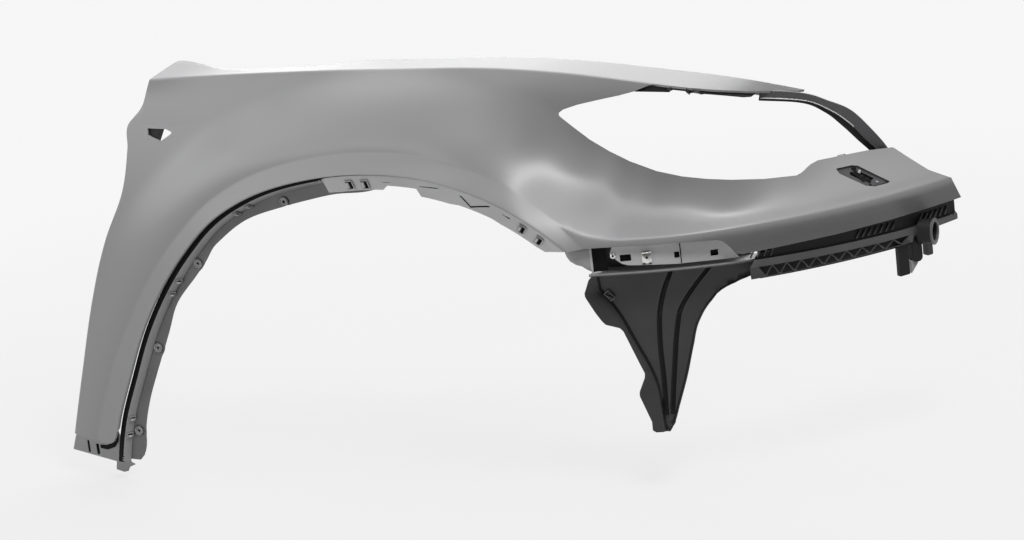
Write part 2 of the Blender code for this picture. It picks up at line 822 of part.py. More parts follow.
def sill_place(u, v):
    return np.stack([u, np.full_like(u, SILL_PLANE), v], axis=-1)


def beside_flange(height):
    return float(rear_edge(height)) + SKIN_WALL + SILL_CLEAR


sill_tab = [
    (beside_flange(SILL_TAB_LOW), SILL_TAB_LOW),
    (beside_flange(SILL_TAB_TOP), SILL_TAB_TOP),
    (beside_flange(SILL_TAB_TOP) + SILL_TAB_WIDE, SILL_TAB_TOP),
    (beside_flange(SILL_TAB_TOP) + SILL_TAB_WIDE, SILL_SHARES[0][1] * ARCH_RADIUS),
]
sill_loop = np.vstack([shares(SILL_SHARES), sill_tab])
sill_holes = [slot(*row) for row in shares(SILL_SLOT_SHARES)]
sheet("sill_bracket", sill_loop, sill_place, SILL_WALL, RIM_STEP, RIM_GREY, sill_holes)

# Bumper carrier strip
# Recessed light grey strip below the front of the arch, with square holes for the bumper cover.
CARRIER_GREY = material("carrier_grey", (0.26, 0.26, 0.265), 0.4)
CARRIER_WALL = 0.002
CARRIER_STEP_TOP = 0.359
CARRIER_STEP_LOW = 0.353
CARRIER_SET_BACK = 0.020
CARRIER_CLEAR = 0.0038
CARRIER_MESH = 0.012
CARRIER_FOLD_START = 0.330
CARRIER_FOLD_END = 0.480
CARRIER_SHARES = [
    (0.716, 0.761),
    (0.975, 0.761),
    (1.026, 0.678),
    (0.874, 0.684),
    (0.735, 0.697),
    (0.714, 0.708),
    (0.703, 0.724),
    (0.702, 0.745),
]
# Square holes: forward place, height, length, width
CARRIER_HOLE_SHARES = [
    (0.743, 0.717, 0.0295, 0.0200),
    (0.875, 0.7105, 0.0116, 0.0180),
    (0.967, 0.702, 0.0190, 0.0180),
]
SQUARE_CORNER_SHARE = 0.1


def carrier_place(u, v):
    close = behind(skin_point, CARRIER_CLEAR)(u, v - shoulder_height(u))
    deep = np.stack([u, plan_depth(u) + CARRIER_SET_BACK, v], axis=-1)
    share = smooth_step((CARRIER_STEP_TOP - v) / (CARRIER_STEP_TOP - CARRIER_STEP_LOW))[..., None]
    return close * (1 - share) + deep * share


carrier_holes = [slot(*row, SQUARE_CORNER_SHARE) for row in shares(CARRIER_HOLE_SHARES)]
carrier_folds = [
    [(CARRIER_FOLD_START, CARRIER_STEP_TOP), (CARRIER_FOLD_END, CARRIER_STEP_TOP)],
    [(CARRIER_FOLD_START, CARRIER_STEP_LOW), (CARRIER_FOLD_END, CARRIER_STEP_LOW)],
]
sheet(
    "bumper_carrier",
    shares(CARRIER_SHARES),
    carrier_place,
    CARRIER_WALL,
    CARRIER_MESH,
    CARRIER_GREY,
    carrier_holes,
    carrier_folds,
)

# Spring clip and screw on the carrier strip
CLIP_STEEL = material("clip_steel", (0.62, 0.62, 0.60), 0.32, 1.0)
SPRING_PLACE = (0.379, 0.3385)
SPRING_SIZE = (0.0125, 0.0165, 0.001)
SPRING_BORE = 0.0022
SPRING_LIP = (0.0125, 0.002, 0.003)
SCREW_PLACE = (0.3375, 0.3425)
SCREW_HEAD = 0.0042
SCREW_HIGH = 0.0026
SCREW_HEX = 0.0018

spot, along, up, out = facing(carrier_place, *SPRING_PLACE)
plate_middle = spot + out * (JOINT_GAP + SPRING_SIZE[2] / 2)
plate_shape = block_mesh("spring_clip", SPRING_SIZE, 0)
plate = add_object("spring_clip", plate_shape, CLIP_STEEL, plate_middle, (along, up, out))
lip_middle = plate_middle + up * (SPRING_SIZE[1] / 2) + out * (SPRING_LIP[2] / 2)
lip_shape = block_mesh("lip", SPRING_LIP, 0)
lip = add_object("spring_clip_lip", lip_shape, CLIP_STEEL, lip_middle, (along, up, out))
bore_start = plate_middle - out * SPRING_LIP[2]
bore_shape = tube_mesh("bore", SPRING_BORE, 2 * SPRING_LIP[2])
bore = add_object("spring_clip_bore", bore_shape, CLIP_STEEL, bore_start, (along, up, out))
combine(plate, [lip], "UNION")
combine(plate, [bore], "DIFFERENCE")
spot, along, up, out = facing(carrier_place, *SCREW_PLACE)
head = add_object(
    "carrier_screw",
    tube_mesh("carrier_screw", SCREW_HEAD, SCREW_HIGH),
    CLIP_STEEL,
    spot + out * JOINT_GAP,
    (along, up, out),
)
socket_shape = tube_mesh("socket", SCREW_HEX, SCREW_HIGH, 0.0, 6)
socket_start = spot + out * SCREW_HIGH / 2
socket = add_object("carrier_screw_socket", socket_shape, CLIP_STEEL, socket_start, (along, up, out))
combine(head, [socket], "DIFFERENCE")

# Bumper shelf and end cap
# Dark plastic tray under the carrier strip with a turned-down front lip, closed at the rear by a cap.
BRACKET_BLACK = material("bracket_black", (0.022, 0.022, 0.024), 0.42)
SHELF_GREY = material("shelf_grey", (0.10, 0.10, 0.105), 0.45)
TRAY_HEIGHT = 0.3217
TRAY_WALL = 0.0024
TRAY_FRONT = 0.016
TRAY_LIP = 0.006
TRAY_DEEP = 0.0337
TRAY_START = 0.305
TRAY_END = 0.504
TRAY_MESH = 0.014


def tray_place(u, v):
    depth = plan_depth(u) + TRAY_FRONT + np.maximum(v, 0)
    return np.stack([u, depth, TRAY_HEIGHT + np.minimum(v, 0)], axis=-1)


tray_loop = [
    (TRAY_START, -TRAY_LIP),
    (TRAY_END, -TRAY_LIP),
    (TRAY_END, 0.0),
    (TRAY_END, TRAY_DEEP),
    (TRAY_START + TRAY_MESH, TRAY_DEEP),
    (TRAY_START, TRAY_DEEP - TRAY_MESH),
    (TRAY_START, 0.0),
]
tray_fold = [[(TRAY_START - TRAY_LIP, 0.0), (TRAY_END + TRAY_LIP, 0.0)]]
sheet("bumper_shelf", tray_loop, tray_place, TRAY_WALL, TRAY_MESH, SHELF_GREY, (), tray_fold)

CAP_SET_BACK = 0.026
CAP_SHARES = [
    (0.598, 0.760),
    (0.690, 0.760),
    (0.690, 0.690),
    (0.641, 0.690),
    (0.641, 0.662),
    (0.612, 0.672),
    (0.590, 0.688),
    (0.580, 0.708),
    (0.576, 0.732),
]


def cap_place(u, v):
    return np.stack([u, plan_depth(u) + CAP_SET_BACK, v], axis=-1)


sheet("carrier_cap", shares(CAP_SHARES), cap_place, TRAY_WALL, TRAY_MESH, BRACKET_BLACK)

# Wheelhouse bracket
# Black moulded bracket behind the carrier strip, hanging below it like a V, with two curved ribs and a
# turned, notched flange along its rear edge.
HOUSE_SET_BACK = 0.050
HOUSE_WALL = 0.0026
HOUSE_MESH = 0.013
HOUSE_TURN_SHARE = 0.40
HOUSE_WRAP_SHARE = 0.45
RIB_HIGH = 0.005
RIB_HALF = 0.0045
RIB_FADE_TOP = 0.190
RIB_FADE_LOW = 0.150
RIB_END = 0.3175
HOUSE_FOLD_LOW = 0.075
HOUSE_SHARES = [
    (0.655, 0.735),
    (0.650, 0.690),
    (0.640, 0.666),
    (0.618, 0.648),
    (0.605, 0.604),
    (0.640, 0.534),
    (0.648, 0.518),
    (0.690, 0.492),
    (0.745, 0.347),
    (0.726, 0.294),
    (0.749, 0.187),
    (0.756, 0.177),
    (0.787, 0.171),
    (0.802, 0.194),
    (0.834, 0.288),
    (0.861, 0.381),
    (0.884, 0.459),
    (0.909, 0.516),
    (0.949, 0.558),
    (0.996, 0.581),
    (1.048, 0.585),
    (1.048, 0.600),
    (1.040, 0.666),
    (1.000, 0.690),
    (0.985, 0.735),
]
# Lines on the bracket: height, then forward place
HOUSE_FOLD_SHARES = [
    (0.160, 0.788),
    (0.310, 0.766),
    (0.343, 0.772),
    (0.396, 0.752),
    (0.505, 0.703),
    (0.573, 0.661),
    (0.623, 0.642),
    (0.690, 0.634),
]
RIB_REAR_SHARES = [
    (0.150, 0.800),
    (0.333, 0.792),
    (0.415, 0.787),
    (0.497, 0.785),
    (0.560, 0.794),
    (0.644, 0.825),
    (0.690, 0.850),
]
RIB_FRONT_SHARES = [
    (0.150, 0.822),
    (0.371, 0.821),
    (0.451, 0.827),
    (0.509, 0.840),
    (0.577, 0.872),
    (0.640, 0.924),
    (0.690, 0.980),
]


def house_place(u, v):
    fold = sized(v, HOUSE_FOLD_SHARES)
    first, second = sized(v, RIB_REAR_SHARES), sized(v, RIB_FRONT_SHARES)
    nearest = np.minimum(abs(u - first), abs(u - second))
    ridge = RIB_HIGH * np.clip(1 - nearest / RIB_HALF, 0, 1)
    ridge = ridge * smooth_step((v - RIB_FADE_LOW) / (RIB_FADE_TOP - RIB_FADE_LOW))
    ridge = ridge * smooth_step((RIB_END - v) / RIB_HIGH)
    turned = HOUSE_TURN_SHARE * np.clip(fold - u, 0, None)
    wrapped = HOUSE_WRAP_SHARE * np.clip(u - second - RIB_HALF, 0, None)
    depth = plan_depth(np.maximum(u, CREST_START)) + HOUSE_SET_BACK - ridge - turned + wrapped
    return np.stack([u, depth, v], axis=-1)


def upright_line(table, shift, low, high, count=16):
    v = np.linspace(low, high, count)
    return np.stack([sized(v, table) + shift, v], axis=-1)


house_folds = [upright_line(HOUSE_FOLD_SHARES, 0.0, HOUSE_FOLD_LOW, RIB_END)]
for table in (RIB_REAR_SHARES, RIB_FRONT_SHARES):
    for shift in (-RIB_HALF, 0.0, RIB_HALF):
        house_folds.append(upright_line(table, shift, RIB_FADE_LOW, RIB_END, 14))
house_loop = shares(HOUSE_SHARES)
sheet("wheelhouse_bracket", house_loop, house_place, HOUSE_WALL, HOUSE_MESH, BRACKET_BLACK, (), house_folds)

TAB_PLACE = (0.316, 0.283)
TAB_SIZE = (0.013, 0.014, 0.0018)
TAB_CLEAR = 0.0008
spot, along, up, out = facing(house_place, *TAB_PLACE)
tab_middle = spot + out * (TAB_CLEAR + TAB_SIZE[2] / 2)
add_object("edge_tab", block_mesh("edge_tab", TAB_SIZE, 0), SHELF_GREY, tab_middle, (along, up, out))

# Bumper guide rail
# Black moulding under the arm: a face with a zig-zag of ribs, turned top and bottom, with a tube boss
# and legs at the front corner.
RAIL_CLEAR = 0.0057
RAIL_WALL = 0.0022
RAIL_LOW = 0.2940
RAIL_TALL = 0.051
RAIL_TOP = RAIL_LOW + RAIL_TALL
RAIL_TURN = 0.011
RAIL_START = 0.5065
RAIL_FOLD_END = 0.652
RAIL_MESH = 0.012
# End of the rail's face and its stepped upper edge, going back
RAIL_EDGE_SHARES = [
    (1.415, 0.632),
    (1.453, 0.640),
    (1.518, 0.644),
    (1.518, 0.712),
    (1.474, 0.718),
    (1.453, 0.726),
    (1.105, 0.726),
    (1.084, 0.670),
    (1.066, 0.648),
]
TRUSS_ABOVE = 0.0025
TRUSS_TALL = 0.0097
TRUSS_START = 0.520
TRUSS_PITCH = 0.0096
TRUSS_COUNT = 15
TRUSS_RIB = 0.0022
COMB_START = 0.640
COMB_PITCH = 0.0085
COMB_COUNT = 8
COMB_ABOVE = 0.025
COMB_LONG = 0.004
COMB_TALL = 0.009


def inset_plan(u, depth, height):
    """Point at a height, a depth inside the outer outline of the car seen from above."""
    run = plan_depth(u + PROBE) - plan_depth(u - PROBE)
    reach = np.hypot(run, 2 * PROBE)
    return np.stack([u - depth * run / reach, plan_depth(u) + depth * 2 * PROBE / reach, height], axis=-1)


def rail_place(u, v):
    return inset_plan(u, RAIL_CLEAR - np.minimum(v - RAIL_LOW, 0), np.maximum(v, RAIL_LOW))


rail_loop = [
    (RAIL_START, RAIL_LOW - RAIL_TURN),
    (RAIL_FOLD_END, RAIL_LOW - RAIL_TURN),
    (RAIL_FOLD_END, RAIL_LOW),
    *shares(RAIL_EDGE_SHARES),
    (RAIL_START, RAIL_LOW),
]
rail_holes = []
truss_low = RAIL_LOW + TRUSS_ABOVE
truss_top = truss_low + TRUSS_TALL
for k in range(TRUSS_COUNT):
    middle = TRUSS_START + TRUSS_PITCH * k
    half = TRUSS_PITCH - TRUSS_RIB
    base, apex = (truss_top, truss_low) if k % 2 else (truss_low, truss_top)
    rail_holes.append([(middle - half, base), (middle + half, base), (middle, apex)])
for k in range(COMB_COUNT):
    place = COMB_START + COMB_PITCH * k
    rail_holes.append(slot(place, RAIL_LOW + COMB_ABOVE, COMB_LONG, COMB_TALL, SQUARE_CORNER_SHARE))
rail_fold = [[(RAIL_START - TRUSS_RIB, RAIL_LOW), (RAIL_FOLD_END + TRUSS_RIB, RAIL_LOW)]]
rail = sheet(
    "guide_rail", rail_loop, rail_place, RAIL_WALL, RAIL_MESH, BRACKET_BLACK, rail_holes, rail_fold
)

CORE_SET_BACK = 0.0172
CORE_UNDER = 0.0065
CORE_TALL = 0.0415
CORE_LOW = RAIL_LOW - CORE_UNDER
CORE_TOP = CORE_LOW + CORE_TALL
CORE_START = 0.518
CORE_END = 0.688


def core_place(u, v):
    return inset_plan(u, CORE_SET_BACK, v)


core_loop = [(CORE_START, CORE_LOW), (CORE_END, CORE_LOW), (CORE_END, CORE_TOP), (CORE_START, CORE_TOP)]
sheet("rail_backing", core_loop, core_place, RAIL_WALL, RAIL_MESH, BRACKET_BLACK)

BOSS_FORWARD = 0.700
BOSS_INWARD = 0.3262
BOSS_ABOVE = 0.0095
BOSS_FACE = (BOSS_FORWARD, BOSS_INWARD, RAIL_LOW + BOSS_ABOVE)
TUBE_OUTER = 0.0185
TUBE_BORE = 0.0130
TUBE_LONG = 0.021
FORWARD = (1, 0, 0)
INWARD = (0, 1, 0)
UPWARD = (0, 0, 1)
tube_start = np.array(BOSS_FACE) - np.array(FORWARD) * TUBE_LONG
tube_axes = (INWARD, UPWARD, FORWARD)
tube_shape = tube_mesh("tube", TUBE_OUTER, TUBE_LONG, 0.0, 32)
tube = add_object("tube", tube_shape, BRACKET_BLACK, tube_start, tube_axes)
drill_shape = tube_mesh("drill", TUBE_BORE, 2 * TUBE_LONG, 0.0, 32)
drill_start = tube_start - np.array(FORWARD) * TUBE_LONG / 2
drill = add_object("drill", drill_shape, BRACKET_BLACK, drill_start, tube_axes)
combine(rail, [tube], "UNION")
combine(rail, [drill], "DIFFERENCE")

LEG_BEHIND_TUBE = 0.036
LEG_FORWARD = BOSS_FORWARD - LEG_BEHIND_TUBE
LEG_SIZE = (0.016, 0.062, 0.0075)
LEG_UNDER = 0.013
LEG_MIDDLE = RAIL_LOW - LEG_UNDER
PAD_SIZE = (0.0105, 0.012, 0.012)
STOP_BEHIND_TUBE = 0.0245
STOP_FORWARD = BOSS_FORWARD - STOP_BEHIND_TUBE
STOP_SIZE = (0.0085, 0.042, 0.0075)
STOP_UNDER = 0.010
STOP_MIDDLE = RAIL_LOW - STOP_UNDER
STUD_SIZE = (0.008, 0.011, 0.012)


def hang(name, forward, size, middle, extra, finish):
    spot, along, up, out = facing(rail_place, forward, RAIL_TOP)
    depth = RAIL_WALL + JOINT_GAP + size[2] / 2 + extra
    place = spot - out * depth - np.array(UPWARD) * (RAIL_TOP - middle)
    return add_object(name, block_mesh(name, size), finish, place, (along, up, out))


hang("rail_leg", LEG_FORWARD, LEG_SIZE, LEG_MIDDLE, 0.0, BRACKET_BLACK)
pad_middle = LEG_MIDDLE - LEG_SIZE[1] / 2 + PAD_SIZE[1] / 2
hang("leg_pad", LEG_FORWARD, PAD_SIZE, pad_middle, LEG_SIZE[2] + JOINT_GAP, SHELF_GREY)
hang("rail_stop", STOP_FORWARD, STOP_SIZE, STOP_MIDDLE, 0.0, BRACKET_BLACK)
stud_middle = STOP_MIDDLE - STOP_SIZE[1] / 2 + STUD_SIZE[1] / 2
hang("rail_stud", STOP_FORWARD, STUD_SIZE, stud_middle, STOP_SIZE[2] + JOINT_GAP, BRACKET_BLACK)

# Headlight strap
# Curved black frame from the front of the top band down to the tip of the arm, in two layers.
STRAP_LONG = 0.165
STRAP_WIDE = 0.018
STRAP_WALL = 0.0022
STRAP_MESH = 0.008
STRAP_DEEPER = 0.0028
# Each row: place along the strap, forward, inward, height
STRAP_TOP_SHARES = [
    (0.00, 1.095, 0.520, 1.0690),
    (0.16, 1.147, 0.544, 1.0680),
    (0.38, 1.227, 0.577, 1.057),
    (0.58, 1.284, 0.598, 1.021),
    (0.76, 1.328, 0.617, 0.966),
    (0.92, 1.3705, 0.630, 0.903),
    (1.00, 1.3785, 0.638, 0.876),
]
STRAP_LOW_SHARES = [
    (0.00, 1.100, 0.524, 1.046),
    (0.16, 1.150, 0.548, 1.044),
    (0.38, 1.225, 0.577, 1.026),
    (0.58, 1.278, 0.596, 0.983),
    (0.76, 1.313, 0.611, 0.935),
    (0.92, 1.3455, 0.622, 0.896),
    (1.00, 1.3545, 0.628, 0.874),
]
LINING_LOW_SHARES = [
    (0.00, 1.060, 0.512, 1.058),
    (0.16, 1.140, 0.546, 1.030),
    (0.38, 1.212, 0.573, 1.002),
    (0.58, 1.254, 0.590, 0.967),
    (0.76, 1.290, 0.605, 0.925),
    (0.92, 1.3205, 0.616, 0.890),
    (1.00, 1.3305, 0.624, 0.872),
]
LINING_TOP_SHARES = [
    (0.00, 1.060, 0.512, 1.078),
    (0.16, 1.151, 0.548, 1.052),
    (0.38, 1.227, 0.577, 1.034),
    (0.58, 1.280, 0.597, 0.991),
    (0.76, 1.316, 0.612, 0.944),
    (0.92, 1.3495, 0.623, 0.903),
    (1.00, 1.3585, 0.630, 0.880),
]


def strap_surface(top, low, deeper):
    def edge(t, table):
        columns = [through(t, [(row[0], row[k]) for row in table]) for k in (1, 2, 3)]
        return np.stack(columns, axis=-1) * ARCH_RADIUS

    def place(u, v):
        t, s = u / STRAP_LONG, (v / STRAP_WIDE)[..., None]
        point = edge(t, low) * (1 - s) + edge(t, top) * s
        return point + np.array(INWARD) * deeper

    return place


strap_loop = [(0.0, 0.0), (STRAP_LONG, 0.0), (STRAP_LONG, STRAP_WIDE), (0.0, STRAP_WIDE)]
strap_place = strap_surface(STRAP_TOP_SHARES, STRAP_LOW_SHARES, 0.0)
lining_place = strap_surface(LINING_TOP_SHARES, LINING_LOW_SHARES, STRAP_DEEPER)
sheet("lamp_strap", strap_loop, strap_place, STRAP_WALL, STRAP_MESH, BRACKET_BLACK)
sheet("lamp_strap_lining", strap_loop, lining_place, STRAP_WALL, STRAP_MESH, BRACKET_BLACK)

# Headlight upper bracket
# Black strip clipped under the top band along the upper edge of the headlight opening.
LAMP_STRIP_WALL = 0.002
LAMP_STRIP_CLEAR = 0.0044
LAMP_FOLD_START = 0.360
LAMP_FOLD_END = 0.470
# Outline: forward place, then distance inward of the shoulder crease
LAMP_STRIP_SHARES = [
    (0.787, -0.0263),
    (0.813, -0.0211),
    (0.901, -0.0105),
    (0.909, 0.0095),
    (0.928, 0.0147),
    (0.935, -0.0021),
    (0.968, 0.0042),
    (1.032, 0.0358),
    (1.046, 0.0526),
    (1.046, 0.1053),
    (0.989, 0.1053),
    (0.787, 0.0526),
]
lamp_strip_place = behind(skin_point, LAMP_STRIP_CLEAR)
lamp_fold = [[(LAMP_FOLD_START, 0.0), (LAMP_FOLD_END, 0.0)]]
sheet(
    "lamp_upper_strip",
    shares(LAMP_STRIP_SHARES),
    lamp_strip_place,
    LAMP_STRIP_WALL,
    TRAY_MESH,
    BRACKET_BLACK,
    (),
    lamp_fold,
)

# Headlight washer
# Black bezel behind the slanted opening in the arm, with a cup and a nozzle inside.
BEZEL_WALL = 0.0016
BEZEL_CLEAR = 0.0034
BEZEL_OUTER_SHARE = 1.16
BEZEL_INNER_SHARE = 0.74
CUP_SIZE = (0.070, 0.030, 0.020)
CUP_WALL = 0.002
CUP_CLEAR = 0.0062
CUP_TILT = math.radians(-23)
NOZZLE_RADIUS = 0.0062
NOZZLE_LONG = 0.011
NOZZLE_HEAD = (0.020, 0.009, 0.003)
washer_flat = flat_table(WASHER_SHARES)
washer_middle = (washer_flat.min(axis=0) + washer_flat.max(axis=0)) / 2
bezel_loop = washer_middle + (washer_flat - washer_middle) * BEZEL_OUTER_SHARE
bezel_hole = washer_middle + (washer_flat - washer_middle) * BEZEL_INNER_SHARE
bezel_place = behind(skin_point, BEZEL_CLEAR)
sheet("washer_bezel", bezel_loop, bezel_place, BEZEL_WALL, TRAY_MESH, BRACKET_BLACK, [bezel_hole])
spot, along, up, out = facing(skin_point, *washer_middle)
tilted = along * math.cos(CUP_TILT) + up * math.sin(CUP_TILT)
square = np.cross(out, tilted)
cup_axes = (tilted, square, out)
cup_middle = spot - out * (CUP_CLEAR + CUP_SIZE[2] / 2)
cup = add_object("washer_cup", block_mesh("washer_cup", CUP_SIZE), BRACKET_BLACK, cup_middle, cup_axes)
hollow_size = [side - 2 * CUP_WALL for side in CUP_SIZE[:2]] + [CUP_SIZE[2]]
hollow_shape = block_mesh("hollow", hollow_size, 0)
hollow = add_object("washer_hollow", hollow_shape, BRACKET_BLACK, cup_middle + out * CUP_WALL, cup_axes)
combine(cup, [hollow], "DIFFERENCE")
nozzle_start = cup_middle - out * (CUP_SIZE[2] / 2 - CUP_WALL - JOINT_GAP)
nozzle_shape = tube_mesh("washer_nozzle", NOZZLE_RADIUS, NOZZLE_LONG)
nozzle = add_object("washer_nozzle", nozzle_shape, BRACKET_BLACK, nozzle_start, cup_axes)
head_shape = block_mesh("head", NOZZLE_HEAD)
cap_piece = add_object("nozzle_head", head_shape, BRACKET_BLACK, nozzle_start + out * NOZZLE_LONG, cup_axes)
combine(nozzle, [cap_piece], "UNION")

# Side indicator socket
# Black holder behind the rear half of the indicator opening.
SOCKET_SIZE = (0.034, 0.026, 0.012)
SOCKET_PLACE = (-0.366, 0.5135)
SOCKET_CLEAR = 0.0037
SOCKET_WALL = 0.003
spot, along, up, out = facing(skin_point, SOCKET_PLACE[0], float(flat_side(*SOCKET_PLACE)[1]))
socket_middle = spot - out * (SOCKET_CLEAR + SOCKET_SIZE[2] / 2)
socket_axes = (along, up, out)
holder_shape = block_mesh("indicator_socket", SOCKET_SIZE)
holder = add_object("indicator_socket", holder_shape, BRACKET_BLACK, socket_middle, socket_axes)
inner_size = (SOCKET_SIZE[0], SOCKET_SIZE[1] - 2 * SOCKET_WALL, SOCKET_SIZE[2])
inner_place = socket_middle + out * SOCKET_WALL + along * SOCKET_WALL
inner_shape = block_mesh("inner", inner_size, 0)
inner = add_object("socket_inner", inner_shape, BRACKET_BLACK, inner_place, socket_axes)
combine(holder, [inner], "DIFFERENCE")

# Bonnet flange nuts
# Sheet-metal nuts under the slots of the bonnet flange.
NUT_STEEL = material("nut_steel", (0.45, 0.45, 0.43), 0.38, 1.0)
NUT_PLATE = (0.020, 0.016, 0.0012)
NUT_BARREL = 0.0052
NUT_BORE = 0.0030
NUT_LONG = 0.007
for count, share in enumerate(SLOT_PLACE_SHARES, 1):
    u = ARCH_RADIUS * share
    v = float(sized(u, TOP_EDGE_SHARES)) + TOP_DROP + TOP_SHELF / 2
    spot, along, up, out = facing(skin_point, u, v)
    name = f"flange_nut_{count}"
    axes = (along, up, out)
    low = spot - out * (SKIN_WALL + JOINT_GAP + NUT_PLATE[2])
    nut = add_object(name, block_mesh(name, NUT_PLATE, 0), NUT_STEEL, low + out * NUT_PLATE[2] / 2, axes)
    barrel_start = low - out * NUT_LONG
    barrel_shape = tube_mesh("barrel", NUT_BARREL, NUT_LONG + NUT_PLATE[2] / 2, 0.0, 16)
    thread_shape = tube_mesh("thread", NUT_BORE, NUT_LONG * 3, 0.0, 16)
    barrel = add_object(f"{name}_barrel", barrel_shape, NUT_STEEL, barrel_start, axes)
    thread = add_object(f"{name}_thread", thread_shape, NUT_STEEL, barrel_start - out * NUT_LONG, axes)
    combine(nut, [barrel], "UNION")
    combine(nut, [thread], "DIFFERENCE")
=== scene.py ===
"""Looks of the right-hand front wing of a large car.  Metres, +X to the front, +Y to the middle, +Z up.
Shapes are worked out about the centre of the wheel arch and then moved to the frame's own origin."""

import math

import bpy
import numpy as np
from mathutils import Matrix, Vector
from mathutils.geometry import delaunay_2d_cdt


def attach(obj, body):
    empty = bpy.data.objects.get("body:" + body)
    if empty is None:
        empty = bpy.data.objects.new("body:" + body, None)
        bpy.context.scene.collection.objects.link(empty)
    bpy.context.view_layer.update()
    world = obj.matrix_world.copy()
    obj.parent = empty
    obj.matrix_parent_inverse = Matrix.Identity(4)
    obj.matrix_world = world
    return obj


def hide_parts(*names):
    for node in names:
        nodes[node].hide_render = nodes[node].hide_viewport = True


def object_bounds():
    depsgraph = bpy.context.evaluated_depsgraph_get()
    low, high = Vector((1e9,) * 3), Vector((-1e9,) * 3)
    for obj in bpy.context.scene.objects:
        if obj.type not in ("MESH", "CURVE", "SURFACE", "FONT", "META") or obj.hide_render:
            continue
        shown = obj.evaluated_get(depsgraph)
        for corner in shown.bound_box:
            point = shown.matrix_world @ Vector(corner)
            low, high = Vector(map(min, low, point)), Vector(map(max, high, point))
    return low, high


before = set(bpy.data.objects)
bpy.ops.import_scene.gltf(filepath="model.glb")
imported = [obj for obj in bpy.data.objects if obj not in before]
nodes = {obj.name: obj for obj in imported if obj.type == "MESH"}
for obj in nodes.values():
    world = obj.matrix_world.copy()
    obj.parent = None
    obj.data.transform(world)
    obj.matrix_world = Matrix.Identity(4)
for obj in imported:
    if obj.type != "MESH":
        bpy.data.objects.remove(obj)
cad_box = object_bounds()

# Camera
# It stands in front of the wing and a little above it, a long lens turned slightly, as the photograph was
# taken.
CAMERA_TURN = math.radians(27)
CAMERA_RISE = math.radians(16)
CAMERA_ROLL = math.radians(7)
CAMERA_LENS = 98.4375
CAMERA_PLACE = (1.87764, -3.36502, 0.80703)
CAMERA_SIGHT = 60

back = Vector(
    (
        math.sin(CAMERA_TURN) * math.cos(CAMERA_RISE),
        -math.cos(CAMERA_TURN) * math.cos(CAMERA_RISE),
        math.sin(CAMERA_RISE),
    )
)
level = Vector((math.cos(CAMERA_TURN), math.sin(CAMERA_TURN), 0))
upright = back.cross(level)
right = level * math.cos(CAMERA_ROLL) - upright * math.sin(CAMERA_ROLL)
above = level * math.sin(CAMERA_ROLL) + upright * math.cos(CAMERA_ROLL)
camera = bpy.data.objects.new("camera", bpy.data.cameras.new("camera"))
camera.data.lens = CAMERA_LENS
camera.data.clip_end = CAMERA_SIGHT
camera.matrix_world = Matrix.Translation(CAMERA_PLACE) @ Matrix((right, above, back)).transposed().to_4x4()
bpy.context.scene.collection.objects.link(camera)
bpy.context.scene.camera = camera
bpy.context.scene.view_settings.view_transform = "Standard"


# Studio
# A pale floor just under the lowest bracket in a pale room, with seven soft lamps: a wide one overhead, two
# behind the wing and four smaller ones to the left and in front.  The camera sees the room as near white,
# and the floor keeps the wing's shadow and grows paler farther away.
ROOM_WHITE = (0.925, 0.925, 0.925)
ROOM_LIGHT = 0.05
FLOOR_DROP = 0.004
FLOOR_HALF = 14.0
FLOOR_SHADE_SHARE = 0.22
FLOOR_MATT = (0.42, 0.42, 0.42)
FLOOR_NEAR = 0.9
FLOOR_FAR = 2.2
LAMPS = {
    "overhead": ((0.1, 0.4, 1.6), (4.0, 2.5), 70.0),
    "behind": ((0.1, 2.6, 0.9), (3.0, 1.2), 40.0),
    "behind_left": ((-2.0, 2.0, 1.0), (1.5, 1.2), 28.0),
    "left": ((-2.6, -0.8, 0.8), (1.2, 1.2), 16.0),
    "front_left": ((-2.4, -2.4, 0.9), (1.2, 1.2), 15.0),
    "front_low": ((-1.2, -3.0, 0.5), (1.2, 1.0), 20.0),
    "front_high": ((1.3, -1.0, 2.0), (0.8, 0.8), 50.0),
}
LAMP_AIM = (0.1, 0.0, -0.15)


class Field:
    """A number or colour that varies over a surface.  Operators on it add the Math nodes."""

    def __init__(self, paint, socket):
        self.paint = paint
        self.socket = socket

    def maths(self, operation, other=None, turned=False):
        pair = [other, self] if turned else [self, other]
        values = {k: value for k, value in enumerate(pair) if value is not None}
        return self.paint.node("ShaderNodeMath", {"operation": operation}, values)

    def __add__(self, other):
        return self.maths("ADD", other)

    def __radd__(self, other):
        return self.maths("ADD", other)

    def __mul__(self, other):
        return self.maths("MULTIPLY", other)

    def __rmul__(self, other):
        return self.maths("MULTIPLY", other)

    def __sub__(self, other):
        return self.maths("SUBTRACT", other)

    def __rsub__(self, other):
        return self.maths("SUBTRACT", other, turned=True)

    def between(self, low, high):
        """0 below low, 1 above high, smooth in between."""
        values = {"Value": self, "From Min": low, "From Max": high}
        return self.paint.node("ShaderNodeMapRange", {"interpolation_type": "SMOOTHSTEP"}, values)


